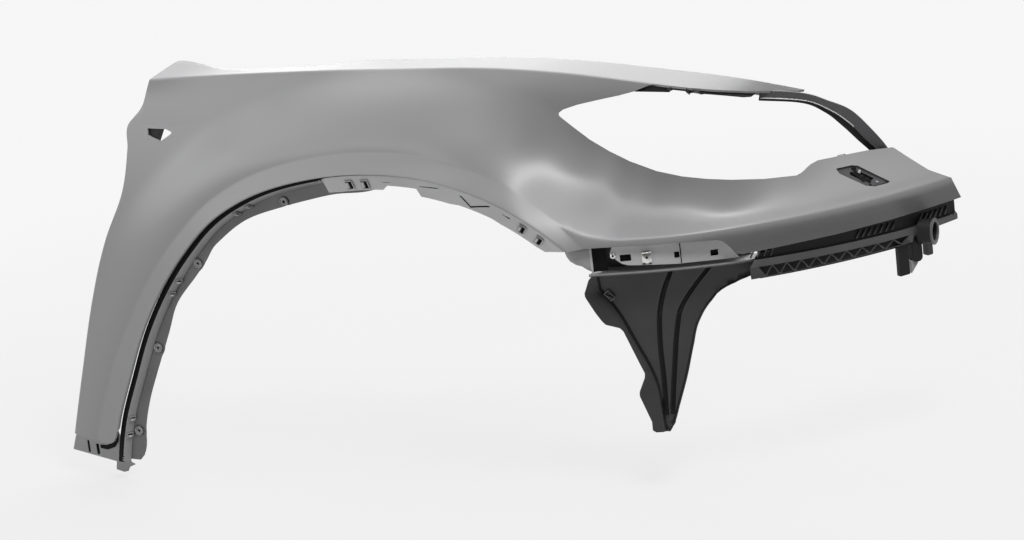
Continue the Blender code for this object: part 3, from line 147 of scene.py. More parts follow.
class Paint:
    """A node material under construction."""

    def __init__(self, name):
        self.material = bpy.data.materials.new(name)
        self.material.use_nodes = True
        self.tree = self.material.node_tree
        self.shader = self.tree.nodes["Principled BSDF"]

    def node(self, kind, settings=None, values=None, out=0):
        """Any node: its settings first, then the values or links of its sockets."""
        made = self.tree.nodes.new(kind)
        for key, value in (settings or {}).items():
            setattr(made, key, value)
        for key, value in (values or {}).items():
            if isinstance(value, Field):
                self.tree.links.new(value.socket, made.inputs[key])
            else:
                made.inputs[key].default_value = value
        return Field(self, made.outputs[out])

    def place(self):
        return self.node("ShaderNodeTexCoord", out="Object")

    def noise(self, scale, detail=3.0, roughness=0.5):
        values = {"Vector": self.place(), "Scale": scale, "Detail": detail, "Roughness": roughness}
        return self.node("ShaderNodeTexNoise", None, values)

    def blend(self, share, first, second):
        """Colour between two colours."""
        values = {"Factor": share, 6: first, 7: second}
        return self.node("ShaderNodeMix", {"data_type": "RGBA"}, values, out=2)

    def bump(self, height, strength, depth, face=None):
        values = {"Height": height, "Strength": strength, "Distance": depth}
        if face:
            values["Normal"] = face
        return self.node("ShaderNodeBump", None, values)

    def finish(self, **values):
        """Sets the sockets of the surface shader and gives back the material."""
        for key, value in values.items():
            socket = self.shader.inputs[key.replace("_", " ").title().replace("Ior", "IOR")]
            if isinstance(value, Field):
                self.tree.links.new(value.socket, socket)
            else:
                socket.default_value = value
        return self.material


def floor_paint():
    paint = Paint("studio_floor")
    output = paint.tree.nodes["Material Output"]
    glow = paint.node("ShaderNodeEmission", None, {"Color": (*ROOM_WHITE, 1)})
    matt = paint.node("ShaderNodeBsdfDiffuse", None, {"Color": (*FLOOR_MATT, 1)})
    away = paint.node("ShaderNodeVectorMath", {"operation": "LENGTH"}, {0: paint.place()}, out="Value")
    seen = paint.node("ShaderNodeLightPath", out="Is Camera Ray")
    mirrored = paint.node("ShaderNodeLightPath", out="Is Glossy Ray")
    plain = away.between(FLOOR_NEAR, FLOOR_FAR) * FLOOR_SHADE_SHARE + (1 - FLOOR_SHADE_SHARE)
    share = seen.maths("MAXIMUM", mirrored) * plain
    mixed = paint.node("ShaderNodeMixShader", None, {"Fac": share, 1: matt, 2: glow})
    paint.tree.links.new(mixed.socket, output.inputs["Surface"])
    return paint.material


floor_mesh = bpy.data.meshes.new("floor")
floor_level = cad_box[0].z - FLOOR_DROP
corners = [(x * FLOOR_HALF, y * FLOOR_HALF, floor_level) for x, y in ((-1, -1), (1, -1), (1, 1), (-1, 1))]
floor_mesh.from_pydata(corners, [], [(0, 1, 2, 3)])
floor = bpy.data.objects.new("floor", floor_mesh)
floor_mesh.materials.append(floor_paint())
bpy.context.scene.collection.objects.link(floor)

world = bpy.data.worlds.new("room")
world.use_nodes = True
bpy.context.scene.world = world
room = world.node_tree
plain = room.nodes["Background"]
plain.inputs["Color"].default_value = (1, 1, 1, 1)
plain.inputs["Strength"].default_value = ROOM_LIGHT
seen_room = room.nodes.new("ShaderNodeBackground")
seen_room.inputs["Color"].default_value = (*ROOM_WHITE, 1)
path = room.nodes.new("ShaderNodeLightPath")
choice = room.nodes.new("ShaderNodeMixShader")
room.links.new(path.outputs["Is Camera Ray"], choice.inputs["Fac"])
room.links.new(plain.outputs["Background"], choice.inputs[1])
room.links.new(seen_room.outputs["Background"], choice.inputs[2])
room.links.new(choice.outputs["Shader"], room.nodes["World Output"].inputs["Surface"])

for name, (spot, size, power) in LAMPS.items():
    lamp = bpy.data.lights.new(name, "AREA")
    lamp.shape = "RECTANGLE"
    lamp.size, lamp.size_y = size
    lamp.energy = power
    holder = bpy.data.objects.new(name, lamp)
    holder.location = spot
    holder.rotation_euler = (Vector(LAMP_AIM) - Vector(spot)).to_track_quat("-Z", "Y").to_euler()
    bpy.context.scene.collection.objects.link(holder)


# Outer skin
# One moulding of primed grey plastic, about 3 mm thick, folded at the bonnet, the door and the wheel arch.
# Every height and forward length is measured from the centre of the wheel arch.
DATUM = np.array((-0.030, 0.1625, 0.566))
ARCH_RADIUS = 0.475
SKIN_WALL = 0.003
SHOULDER_HEIGHT = 0.597
SHOULDER_INSET = 0.100
SHOULDER_FOLLOW_SHARE = 0.6
REAR_FALL = 0.0155
NOSE_START = 0.100
NOSE_RUN = 0.450
NOSE_DROP = 0.088
CORNER_START = 0.100
CORNER_RADIUS = 0.700
CORNER_LIMIT_SHARE = 0.97
REAR_TUCK = 0.019
BODY_INSET = 0.030
LEAN_START = 0.300
LEAN_POWER = 1.8
FLARE_REACH = 0.100
FLARE_BLEND = 0.050
LIP_FLARE = 0.012
CREST_HEIGHT = 0.368
CREST_START = 0.300
ARM_START = 0.320
ARM_BLEND = 0.170
ARM_SLOPE_SHARE = 0.42
ARM_UNDERCUT_SHARE = 0.06
SCOOP_DEPTH = 0.020
# Brings the highest value of the scoop's curve to 1
SCOOP_CURVE_SCALE = 27 / 4
SCOOP_REACH = 0.095
SCOOP_MIDDLE = 0.330
SCOOP_SPAN = 0.200
LINE_HEIGHT = 0.526
LINE_HOLLOW = 0.006
LINE_START = -0.400
LINE_FADE = 0.200
RETURN_DEPTH = 0.006
REAR_FLANGE = 0.016
TOP_DROP = 0.030
TOP_SHELF = 0.026
SHELF_DROP = 0.031
SHELF_HEIGHT = SHOULDER_HEIGHT - SHELF_DROP
SHELF_SINK = 0.018
SLOT_LONG = 0.014
SLOT_WIDE = 0.008
SLOT_PLACE_SHARES = (-0.52, -0.22, 0.12, 0.46, 0.78)
FLANGE_TAPER = 0.012
FLANGE_LOW = 0.085
FLANGE_HIGH = 0.545
SHELF_REAR = -0.300
SHELF_FRONT = 0.500
TAPER_RUN = 0.006
CREASE_REAR = 0.340
CREASE_OVER = 0.010
CHARACTER_END = -0.205
TIP_BULGE_SHARE = 0.52
SHOULDER_END_SHARE = 0.816
ARM_TIP_SHARE = 1.52
EDGE_FRONT_ANGLE = 51.5
EDGE_LOW_ANGLE = 170.5
CREASE_FRONT_ANGLE = 48.5
CREASE_LOW_ANGLE = 176.0
FOLD_FRONT_ANGLE = 50.5
FOLD_LOW_ANGLE = 171.4
SKIN_FINE = 0.0065
FOLD_REACH = 0.0016
LEAN_FADE = 0.060
FOLD_ROWS_SHARES = (-2.2, -1.0, 0.0, 1.0, 2.2)
EDGE_BEVEL = 0.0006
BEVEL_WALL_SHARE = 0.3
BEVEL_ANGLE = math.radians(55)
FILL_PARTS = 60
FILL_CLEAR_SHARE = 0.6
# Faces smaller than this have no direction of their own, so they are left out
SLIVER = 1e-9
PRIMER_DARK = (0.190, 0.190, 0.194, 1)
PRIMER_LIGHT = (0.262, 0.262, 0.266, 1)

# Wheel arch outlines: angle from straight ahead in degrees, then radius as a share of the arch radius
ARCH_EDGE_SHARES = [
    (46, 0.960),
    (52, 0.966),
    (57, 0.978),
    (64, 0.993),
    (75, 1.001),
    (90, 0.996),
    (100, 0.995),
    (114, 1.000),
    (122, 0.998),
    (131, 0.984),
    (140, 0.975),
    (150, 0.972),
    (160, 0.978),
    (170, 1.008),
    (176, 1.026),
]
ARCH_CREASE_SHARES = [
    (44, 0.985),
    (50, 0.990),
    (56, 1.019),
    (61, 1.038),
    (65, 1.052),
    (72, 1.061),
    (80, 1.061),
    (90, 1.056),
    (100, 1.053),
    (113, 1.056),
    (121, 1.053),
    (131, 1.040),
    (145, 1.036),
    (152, 1.041),
    (158, 1.055),
    (165, 1.073),
    (174, 1.109),
]
# Rear edge beside the door: height, then forward place, as shares of the arch radius
REAR_EDGE_SHARES = [
    (0.120, -1.209),
    (0.350, -1.131),
    (0.567, -1.058),
    (0.760, -0.977),
    (0.914, -0.897),
    (1.039, -0.873),
    (1.112, -0.868),
    (1.148, -0.834),
    (1.206, -0.810),
    (1.240, -0.795),
]
# Bonnet edge: forward place, then width of the top band inward of the shoulder, as shares
TOP_EDGE_SHARES = [
    (-0.760, 0.094),
    (-0.737, 0.090),
    (-0.700, 0.085),
    (-0.650, 0.074),
    (-0.550, 0.042),
    (-0.400, 0.044),
    (-0.270, 0.055),
    (-0.080, 0.096),
    (0.140, 0.100),
    (0.500, 0.134),
    (0.740, 0.163),
    (0.905, 0.179),
    (1.032, 0.175),
    (1.140, 0.165),
]
# Rise of the top band for each unit inward, along the car
TOP_RISE_SHARES = [
    (-0.800, 0.42),
    (-0.720, 0.40),
    (-0.550, 0.22),
    (-0.400, 0.10),
    (0.000, 0.06),
    (0.500, 0.03),
    (0.740, 0.00),
    (1.200, 0.00),
]
# Headlight opening, going forward along its lower edge: forward place and height
LAMP_LOW_SHARES = [
    (0.560, 1.125),
    (0.562, 1.117),
    (0.594, 1.091),
    (0.649, 1.047),
    (0.703, 1.011),
    (0.757, 0.980),
    (0.829, 0.947),
    (0.895, 0.926),
    (0.958, 0.912),
    (1.020, 0.901),
    (1.100, 0.890),
    (1.175, 0.884),
    (1.188, 0.890),
    (1.205, 0.906),
    (1.222, 0.913),
    (1.262, 0.913),
    (1.329, 0.911),
    (1.383, 0.903),
]
# Front end of the arm below the lamp, going down: forward place and height
ARM_END_SHARES = [
    (1.383, 0.903),
    (1.388, 0.899),
    (1.415, 0.868),
    (1.460, 0.816),
    (1.506, 0.775),
    (1.521, 0.707),
]
# Lower edge of the arm, going back to the wheel arch
ARM_LOW_SHARES = [
    (1.521, 0.707),
    (1.377, 0.704),
    (1.260, 0.700),
    (1.127, 0.697),
    (1.046, 0.694),
    (1.034, 0.697),
    (1.014, 0.727),
    (1.001, 0.742),
    (0.986, 0.747),
    (0.800, 0.752),
    (0.600, 0.757),
]
# Rounded lower corner between the arch and the sill
LOW_CORNER_SHARES = [
    (-1.005, 0.155),
    (-1.012, 0.138),
    (-1.024, 0.122),
    (-1.042, 0.112),
    (-1.070, 0.108),
    (-1.103, 0.110),
]
# Upper edge of the headlight opening, going back: forward place and height, then on the top band forward
# place and distance inward of the shoulder
LAMP_TOP_SHARES = [
    (1.130, 0.140),
    (1.057, 0.080),
    (1.032, 0.056),
    (0.968, 0.026),
    (0.905, 0.009),
    (0.816, 0.000),
]
LAMP_REAR_SHARES = [
    (0.764, 1.166),
    (0.724, 1.159),
    (0.611, 1.143),
    (0.572, 1.133),
]
# Side indicator opening and its shallow recess
INDICATOR_SHARES = [
    (-0.797, 1.097),
    (-0.730, 1.095),
    (-0.722, 1.091),
    (-0.710, 1.087),
    (-0.712, 1.081),
    (-0.747, 1.061),
    (-0.755, 1.062),
    (-0.796, 1.078),
]
# Washer opening in the arm
WASHER_SHARES = [
    (1.263, 0.881),
    (1.297, 0.881),
    (1.311, 0.876),
    (1.381, 0.814),
    (1.379, 0.810),
    (1.350, 0.810),
    (1.330, 0.818),
    (1.271, 0.866),
]


def smooth_step(t):
    """0 to 1 with level ends."""
    t = np.clip(t, 0, 1)
    return t * t * (3 - 2 * t)


def through(x, points):
    """Smooth curve through the points of a table, with a straight run past its ends."""
    px, py = np.array(points, float).T
    x = np.asarray(x, float)
    gap = np.diff(px)
    rate = np.diff(py) / gap
    inner = (rate[:-1] * gap[1:] + rate[1:] * gap[:-1]) / (gap[:-1] + gap[1:])
    slope = np.concatenate([rate[:1], inner, rate[-1:]])
    i = np.clip(np.searchsorted(px, x) - 1, 0, len(gap) - 1)
    t = (x - px[i]) / gap[i]
    s = np.clip(t, 0, 1)
    value = (
        py[i] * (1 + 2 * s) * (1 - s) ** 2
        + py[i + 1] * s * s * (3 - 2 * s)
        + gap[i] * (slope[i] * s * (1 - s) ** 2 - slope[i + 1] * s * s * (1 - s))
    )
    return value + (t - s) * gap[i] * np.where(t < 0, slope[i], slope[i + 1])


def sized(x, points):
    """A table written in shares of the arch radius, read in metres."""
    return ARCH_RADIUS * through(np.asarray(x) / ARCH_RADIUS, points)


def plan_depth(x):
    """Inward depth of the outer face seen from above: the front turns round the corner of the car."""
    ahead = np.clip(x - CORNER_START, 0, CORNER_LIMIT_SHARE * CORNER_RADIUS)
    behind = np.minimum(x, 0) / ARCH_RADIUS
    return CORNER_RADIUS - np.sqrt(CORNER_RADIUS**2 - ahead**2) + REAR_TUCK * behind**2


def shoulder_height(x):
    """Height of the crease between side and top band."""
    fall = REAR_FALL * (np.minimum(x, 0) / ARCH_RADIUS) ** 2
    nose = NOSE_DROP * (np.maximum(x - NOSE_START, 0) / NOSE_RUN) ** 2
    return SHOULDER_HEIGHT - fall - nose


def shoulder_depth(x):
    return SHOULDER_INSET + SHOULDER_FOLLOW_SHARE * plan_depth(np.maximum(x, 0))


def arch_radius_at(x, z, table):
    angle = np.degrees(np.arctan2(z, x))
    return ARCH_RADIUS * through(angle, table)


def smooth_min(a, b, width):
    h = np.clip(1 - abs(a - b) / width, 0, 1)
    return np.minimum(a, b) - h * h * width / 4


def side_depth(x, z):
    """Inward depth of the outer face at a place and height below the shoulder."""
    x, z = np.broadcast_arrays(np.asarray(x, float), np.asarray(z, float))
    plan = plan_depth(x)
    top = shoulder_height(x)
    lean = np.clip((z - LEAN_START) / (top - LEAN_START), 0, None) ** LEAN_POWER
    body = plan + BODY_INSET + (shoulder_depth(x) - plan - BODY_INSET) * lean
    crease = arch_radius_at(x, z, ARCH_CREASE_SHARES)
    edge = arch_radius_at(x, z, ARCH_EDGE_SHARES)
    beyond = np.hypot(x, z) - crease
    above = np.hypot(z - CREST_HEIGHT, np.minimum(x - CREST_START, 0))
    near = smooth_min(beyond, above, FLARE_BLEND)
    crest = plan + LIP_FLARE
    body = crest + (body - crest) * smooth_step(near / FLARE_REACH)
    rise = np.clip((z - LINE_HEIGHT) / (top - LINE_HEIGHT), 0, 1)
    hollow = LINE_HOLLOW * 4 * rise * (1 - rise) * (1 - smooth_step((x - LINE_START) / LINE_FADE))
    height = z - CREST_HEIGHT
    slope = np.where(height > 0, ARM_SLOPE_SHARE, -ARM_UNDERCUT_SHARE)
    arm = plan + slope * height
    mix = smooth_step((x - ARM_START) / ARM_BLEND)
    depth = (body + hollow) * (1 - mix) + arm * mix
    rise = np.clip(np.where(height > 0, near, 0) / SCOOP_REACH, 0, 1)
    scoop = SCOOP_DEPTH * SCOOP_CURVE_SCALE * rise * (1 - rise) ** 2
    depth = depth + scoop * smooth_step(1 - abs(x - SCOOP_MIDDLE) / SCOOP_SPAN)
    lip = plan + LIP_FLARE * (1 + np.clip(beyond / (crease - edge), -1, 0))
    return np.where((beyond < 0) & (x < ARM_START), lip, depth)


def rear_edge(z):
    return sized(z, REAR_EDGE_SHARES)


def skin_point(u, v):
    """Outer face of the skin.  u runs forward; v is measured from the shoulder crease, negative down the
    side, positive inward over the top band and on round the folds of the bonnet flange."""
    u = np.asarray(u, float)
    v = np.asarray(v, float)
    x = u.copy()
    top = shoulder_height(x)
    z = top + np.minimum(v, 0)
    back = np.where(v <= 0, np.clip(rear_edge(z) - x, 0, None), 0)
    x = x + back
    radius = np.hypot(x, z)
    short = np.clip(arch_radius_at(x, z, ARCH_EDGE_SHARES) - radius, 0, RETURN_DEPTH * 2)
    short = np.where(x < ARM_START, short, 0)
    grow = 1 + short / radius
    y = side_depth(x * grow, z * grow) + back + short
    band = sized(u, TOP_EDGE_SHARES)
    inward = np.clip(v, 0, band)
    over = np.clip(v - band, 0, None)
    z_edge = z + through(u / ARCH_RADIUS, TOP_RISE_SHARES) * inward
    shelf = np.minimum(SHELF_HEIGHT, shoulder_height(u) - SHELF_SINK)
    z_band = z_edge + (shelf - z_edge) * np.clip(over / TOP_DROP, 0, 1)
    y = y + inward + np.clip(over - TOP_DROP, 0, None)
    return np.stack([x * grow, y, np.where(v > 0, z_band, z * grow)], axis=-1)


def shares(points):
    return ARCH_RADIUS * np.array(points, float)


def flat_side(x, z):
    """Side point of the skin in its flat coordinates."""
    x = np.asarray(x, float)
    return np.stack([x, z - shoulder_height(x)], axis=-1)


def flat_table(points):
    x, z = shares(points).T
    return flat_side(x, z)


def arc_points(table, first, last, count, change=0.0):
    """Points on a wheel arch outline between two angles, moved outward by a change."""
    angle = np.linspace(first, last, count)
    radius = ARCH_RADIUS * through(angle, table) + change
    angle = np.radians(angle)
    return radius * np.cos(angle), radius * np.sin(angle)


def slot(u, v, long, wide, corner_share=0.3):
    a, b, c = long / 2, wide / 2, min(long, wide) * corner_share
    ring = [(-a + c, -b), (a - c, -b), (a, -b + c), (a, b - c)]
    ring += [(a - c, b), (-a + c, b), (-a, b - c), (-a, -b + c)]
    return [(u + x, v + y) for x, y in ring]


def band_line(places, extra):
    places = np.asarray(places, float)
    return np.stack([places, sized(places, TOP_EDGE_SHARES) + extra], axis=-1)


def line_points(corners, step, closed):
    """Points along a line of corners: a straight stretch is cut into equal parts no longer than the step."""
    corners = np.asarray(corners, float)
    ends = np.roll(corners, -1, axis=0) if closed else corners[1:]
    starts = corners if closed else corners[:-1]
    count = np.maximum(1, np.ceil(np.linalg.norm(ends - starts, axis=1) / step - 1e-6)).astype(int)
    which = np.repeat(np.arange(len(count)), count)
    within = np.arange(count.sum()) - np.repeat(np.cumsum(count) - count, count)
    share = (within / count[which])[:, None]
    points = starts[which] + (ends - starts)[which] * share
    return points if closed else np.vstack([points, corners[-1:]])


def inside(points, loop):
    """True where a line to the side crosses the outline an odd number of times."""
    ax, ay = loop.T
    bx, by = np.roll(loop, -1, axis=0).T
    run = np.where(by == ay, 1, by - ay)
    found = []
    for part in np.array_split(points, max(1, len(points) // 1500)):
        x, y = part[:, :1], part[:, 1:]
        found.append(((ay > y) != (by > y)) & (x < ax + (y - ay) / run * (bx - ax)))
    return np.concatenate([f.sum(axis=1) % 2 == 1 for f in found])


def rounded(place, reach):
    """The surface averaged over a small circle of its own coordinates, which rounds every fold."""
    turn = np.arange(8) * math.pi / 4

    def soft(u, v):
        points = [place(u + reach * math.cos(a), v + reach * math.sin(a)) for a in turn]
        return np.mean([place(u, v), *points], axis=0)

    return soft


def sheet(
    name, loop, place, wall, step, paints, holes=(), folds=(), reach=0.0, marks=None, lean=None
):
    """A flat outline with its holes and fold lines, filled with a fine mesh, laid on the surface that place
    gives and given an even wall behind it.  It stands for the CAD node of the same name.  marks gives the
    paint of each place, and lean a turn of the shading that stands for a softer hollow or a sharper crest."""
    lines = [line_points(loop, step, True)] + [line_points(hole, step, True) for hole in holes]
    closed = len(lines)
    lines += [line_points(fold, step, False) for fold in folds]
    fixed = np.vstack(lines)
    edges, first = [], 0
    for k, line in enumerate(lines):
        index = np.arange(first, first + len(line))
        pairs = np.stack([index, np.roll(index, -1)], axis=1)
        edges.append(pairs if k < closed else pairs[:-1])
        first += len(line)
    low, high = fixed.min(axis=0), fixed.max(axis=0)
    rows = np.arange(low[1], high[1], step * math.sin(math.pi / 3))
    across, up = np.meshgrid(np.arange(low[0], high[0], step), rows)
    across = across + (np.arange(len(rows)) % 2)[:, None] * step / 2
    grid = np.stack([across.ravel(), up.ravel()], axis=1)
    grid = grid[inside(grid, lines[0])]
    away = [
        np.sqrt(((part[:, None] - fixed) ** 2).sum(axis=2).min(axis=1))
        for part in np.array_split(grid, FILL_PARTS)
        if len(part)
    ]
    grid = grid[np.concatenate(away) > step * FILL_CLEAR_SHARE] if len(grid) else grid
    points = [Vector(p) for p in np.vstack([fixed, grid]).tolist()]
    flat, _, faces, *_ = delaunay_2d_cdt(points, np.vstack(edges).tolist(), [], 0, 1e-6)
    flat = np.array([p[:] for p in flat])
    faces = np.array(faces)
    middle = flat[faces].mean(axis=1)
    keep = inside(middle, lines[0])
    for hole in lines[1:closed]:
        keep &= ~inside(middle, hole)
    faces = faces[keep]
    a, b, c = flat[faces].transpose(1, 0, 2)
    spread = np.cross(b - a, c - a)
    faces[spread < 0] = faces[spread < 0][:, ::-1]
    faces = faces[np.abs(spread) > SLIVER]
    used, index = np.unique(faces, return_inverse=True)
    surface = rounded(place, reach) if reach else place
    solid = surface(flat[used, 0], flat[used, 1]) - DATUM
    mesh = bpy.data.meshes.new(name)
    mesh.from_pydata(solid.tolist(), [], index.reshape(faces.shape).tolist())
    mesh.polygons.foreach_set("use_smooth", np.ones(len(faces), bool))
    for paint in paints:
        mesh.materials.append(paint)
    if marks:
        mesh.polygons.foreach_set("material_index", marks(*flat[faces].mean(axis=1).T).astype(int))
    if lean:
        normals = np.empty(len(solid) * 3)
        mesh.vertex_normals.foreach_get("vector", normals)
        leant = leaned(normals.reshape(-1, 3), lean(solid + DATUM))
        mesh.attributes.new("leaned", "FLOAT_VECTOR", "POINT").data.foreach_set("vector", leant.ravel())
    piece = bpy.data.objects.new(f"{name}_finish", mesh)
    bpy.context.scene.collection.objects.link(piece)
    grow = piece.modifiers.new("wall", "SOLIDIFY")
    grow.thickness = wall
    grow.offset = -1
    grow.use_even_offset = True
    grow.use_quality_normals = True
    if lean:
        grow.material_offset = 1
        grow.material_offset_rim = 1
    soften = piece.modifiers.new("edges", "BEVEL")
    soften.width = min(EDGE_BEVEL, wall * BEVEL_WALL_SHARE)
    soften.segments = 2
    soften.limit_method = "ANGLE"
    soften.angle_limit = BEVEL_ANGLE
    soften.harden_normals = True
    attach(piece, "root")
    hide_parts(name)


# A face that looks almost straight up has no upward direction, so its turn fades out
LEAN_LEVEL = 0.05


def leaned(normals, degrees):
    """Each normal turned upward in its own upright plane by a number of degrees."""
    turn = np.radians(degrees)[:, None]
    rise = np.array((0, 0, 1)) - normals * normals[:, 2:]
    rise = rise / np.maximum(np.linalg.norm(rise, axis=1, keepdims=True), LEAN_LEVEL)
    tilted = normals * np.cos(turn) + rise * np.sin(turn)
    return tilted / np.linalg.norm(tilted, axis=1, keepdims=True)


# Upward turn of the face in degrees: a row for each forward place, a column for each height over the crest
LEAN_HEIGHTS = (-0.060, -0.008, 0.004, 0.020, 0.045, 0.075, 0.100, 0.140, 0.180, 0.225)
LEAN_TURNS = {
    -0.15: (0, 0, 0, 0, 0, 0, 0, 0, -12, 0),
    0.12: (0, 0, 0, 0, 0, 0, 16, -4, -20, 0),
    0.20: (0, 0, 0, 0, 0, 10, 6, -14, -22, 0),
    0.25: (0, 0, 4, 10, 22, 28, 14, -22, -26, 0),
    0.32: (-16, -10, 8, 24, 40, 24, -10, -36, -28, 0),
    0.36: (-28, -12, 30, 36, 22, -12, -30, -34, -26, 0),
    0.40: (-30, -8, 40, 34, -2, -24, -28, -28, -22, 0),
    0.48: (-30, -24, 36, 8, -12, -20, -20, -18, -12, 0),
    0.55: (-30, -26, 38, 24, 10, 4, 0, 0, 0, 0),
    0.62: (-28, -26, 40, 36, 28, 18, 10, 0, 0, 0),
    0.70: (-22, -22, 40, 38, 32, 26, 18, 0, 0, 0),
}
# Near its front tip the top band rolls over
NOSE_ROLL_START = 0.400
NOSE_ROLL_LONG = 0.140
NOSE_ROLL_ABOVE = 0.110
NOSE_ROLL_TURN = 42.0


def skin_lean(points):
    """Upward turn of the face at points of the skin: the table above, and the roll of the tip."""
    x, _, z = points.T
    places = np.array(list(LEAN_TURNS))
    height = np.clip(z - CREST_HEIGHT, LEAN_HEIGHTS[0], LEAN_HEIGHTS[-1])
    rows = np.array([through(height, list(zip(LEAN_HEIGHTS, turns))) for turns in LEAN_TURNS.values()])
    share = np.clip(np.interp(x, places, np.arange(len(places))), 0, len(places) - 1 - 1e-9)
    first = share.astype(int)
    part = smooth_step(share - first)
    every = np.arange(len(x))
    turn = rows[first, every] * (1 - part) + rows[first + 1, every] * part
    roll = smooth_step((x - NOSE_ROLL_START) / NOSE_ROLL_LONG) * (z > CREST_HEIGHT + NOSE_ROLL_ABOVE)
    return turn * smooth_step((x - places[0] + LEAN_FADE) / LEAN_FADE) - NOSE_ROLL_TURN * roll


def skin_loop():
    """Outline of the skin in its flat coordinates, from the rear lower corner up and round."""
    low = REAR_EDGE_SHARES[0][0] * ARCH_RADIUS
    z = np.linspace(FLANGE_LOW + FLANGE_TAPER, FLANGE_HIGH, 22)
    z_up = np.array([FLANGE_HIGH + FLANGE_TAPER, REAR_EDGE_SHARES[-2][0] * ARCH_RADIUS])
    corner_u = ARCH_RADIUS * REAR_EDGE_SHARES[-1][1]
    tip_u, tip_v = shares(TOP_EDGE_SHARES[1])
    rear_top = [(corner_u, 0.0), ((corner_u + tip_u) / 2, tip_v * TIP_BULGE_SHARE), (tip_u, tip_v)]
    shelf = np.linspace(SHELF_REAR + TAPER_RUN, SHELF_FRONT, 34)
    parts = [
        flat_side(rear_edge(low), low),
        flat_side(rear_edge(FLANGE_LOW), FLANGE_LOW),
        flat_side(rear_edge(z) - REAR_FLANGE, z),
        flat_side(rear_edge(z_up), z_up),
        rear_top,
        band_line([SHELF_REAR - FLANGE_TAPER, SHELF_REAR], 0.0),
        band_line(shelf, TOP_DROP + TOP_SHELF),
        band_line([SHELF_FRONT + TAPER_RUN, ARCH_RADIUS * TOP_EDGE_SHARES[-1][0]], 0.0),
        shares(LAMP_TOP_SHARES),
        flat_table(LAMP_REAR_SHARES),
        flat_table(LAMP_LOW_SHARES),
        flat_table(ARM_END_SHARES[1:]),
        flat_table(ARM_LOW_SHARES[1:]),
        flat_side(*arc_points(ARCH_EDGE_SHARES, EDGE_FRONT_ANGLE, EDGE_LOW_ANGLE, 62, -RETURN_DEPTH)),
        flat_table(LOW_CORNER_SHARES),
    ]
    return np.vstack([np.atleast_2d(p) for p in parts])


def skin_folds():
    """Fold lines: door flange, shoulder, both folds of the bonnet flange, arm crest, character line, arch
    flare and arch return."""
    z = np.linspace(FLANGE_LOW - CREASE_OVER, FLANGE_HIGH + FLANGE_TAPER, 24)
    u = np.linspace(ARCH_RADIUS * REAR_EDGE_SHARES[-1][1], ARCH_RADIUS * SHOULDER_END_SHARE, 40)
    along = np.linspace(SHELF_REAR, SHELF_FRONT, 36)
    arm = np.linspace(CREASE_REAR, ARCH_RADIUS * ARM_TIP_SHARE, 18)
    line = np.linspace(rear_edge(LINE_HEIGHT), CHARACTER_END, 9)
    return [
        flat_side(rear_edge(z), z),
        np.stack([u, np.zeros_like(u)], axis=-1),
        band_line(along, 0.0),
        band_line(along, TOP_DROP),
        flat_side(arm, CREST_HEIGHT),
        flat_side(line, LINE_HEIGHT),
        flat_side(*arc_points(ARCH_CREASE_SHARES, CREASE_FRONT_ANGLE, CREASE_LOW_ANGLE, 66)),
        flat_side(*arc_points(ARCH_EDGE_SHARES, FOLD_FRONT_ANGLE, FOLD_LOW_ANGLE, 62)),
    ]


def fold_rows(line):
    """A fold line with its parallels, so that the fold can be round."""
    line = line_points(line, SKIN_FINE, False)
    ahead = np.gradient(line, axis=0)
    side = np.stack([-ahead[:, 1], ahead[:, 0]], axis=1) / np.linalg.norm(ahead, axis=1, keepdims=True)
    return [line + side * FOLD_REACH * share for share in FOLD_ROWS_SHARES]


def primer_paint(name, leans):
    """Satin grey primer: a very fine dry spray grain over a slow change of tone."""
    paint = Paint(name)
    slow = paint.noise(2.3, 2.0)
    grain = paint.noise(1500.0, 2.0)
    tone = (slow - 0.5) * 0.10 + (grain - 0.5) * 0.10 + 0.5
    colour = paint.blend(tone, PRIMER_DARK, PRIMER_LIGHT)
    peel = paint.noise(420.0, 2.0) * 0.4 + grain
    face = paint.node("ShaderNodeAttribute", {"attribute_name": "leaned"}, out="Vector") if leans else None
    return paint.finish(
        base_color=colour,
        roughness=0.40 + 0.05 * (slow - 0.5),
        normal=paint.bump(peel, 0.10, 0.0002, face),
    )


SKIN_HOLES = [flat_table(INDICATOR_SHARES), flat_table(WASHER_SHARES)]
SKIN_HOLES += [
    slot(
        ARCH_RADIUS * s,
        float(sized(ARCH_RADIUS * s, TOP_EDGE_SHARES)) + TOP_DROP + TOP_SHELF / 2,
        SLOT_LONG,
        SLOT_WIDE,
    )
    for s in SLOT_PLACE_SHARES
]
SKIN_ROWS = [row for line in skin_folds() for row in fold_rows(line)]
PRIMER = primer_paint("primer_grey", False)
FACE_PRIMER = primer_paint("primer_grey_face", True)
sheet(
    "fender_skin",
    skin_loop(),
    skin_point,
    SKIN_WALL,
    SKIN_FINE,
    [FACE_PRIMER, PRIMER],
    SKIN_HOLES,
    SKIN_ROWS,
    reach=FOLD_REACH,
    lean=skin_lean,
)


# Bonnet flange nuts
# Five sheet-metal nuts pressed under the slots of the bonnet flange.  Their CAD pieces stay and get bright
# zinc with a fine, uneven gloss.
NUT_ZINC = (0.45, 0.45, 0.43)
ZINC_DARK_SHARE = 0.85
ZINC_GRAIN = 900.0


def steel_paint(name, colour, roughness):
    paint = Paint(name)
    fine = paint.noise(ZINC_GRAIN)
    dark = tuple(c * ZINC_DARK_SHARE for c in colour)
    return paint.finish(
        base_color=paint.blend(fine, (*dark, 1), (*colour, 1)),
        metallic=1.0,
        roughness=roughness + 0.1 * (fine - 0.5),
    )


def repaint(name, paint):
    """A CAD piece that stays gets a finish."""
    materials = nodes[name].data.materials
    materials.clear()
    materials.append(paint)


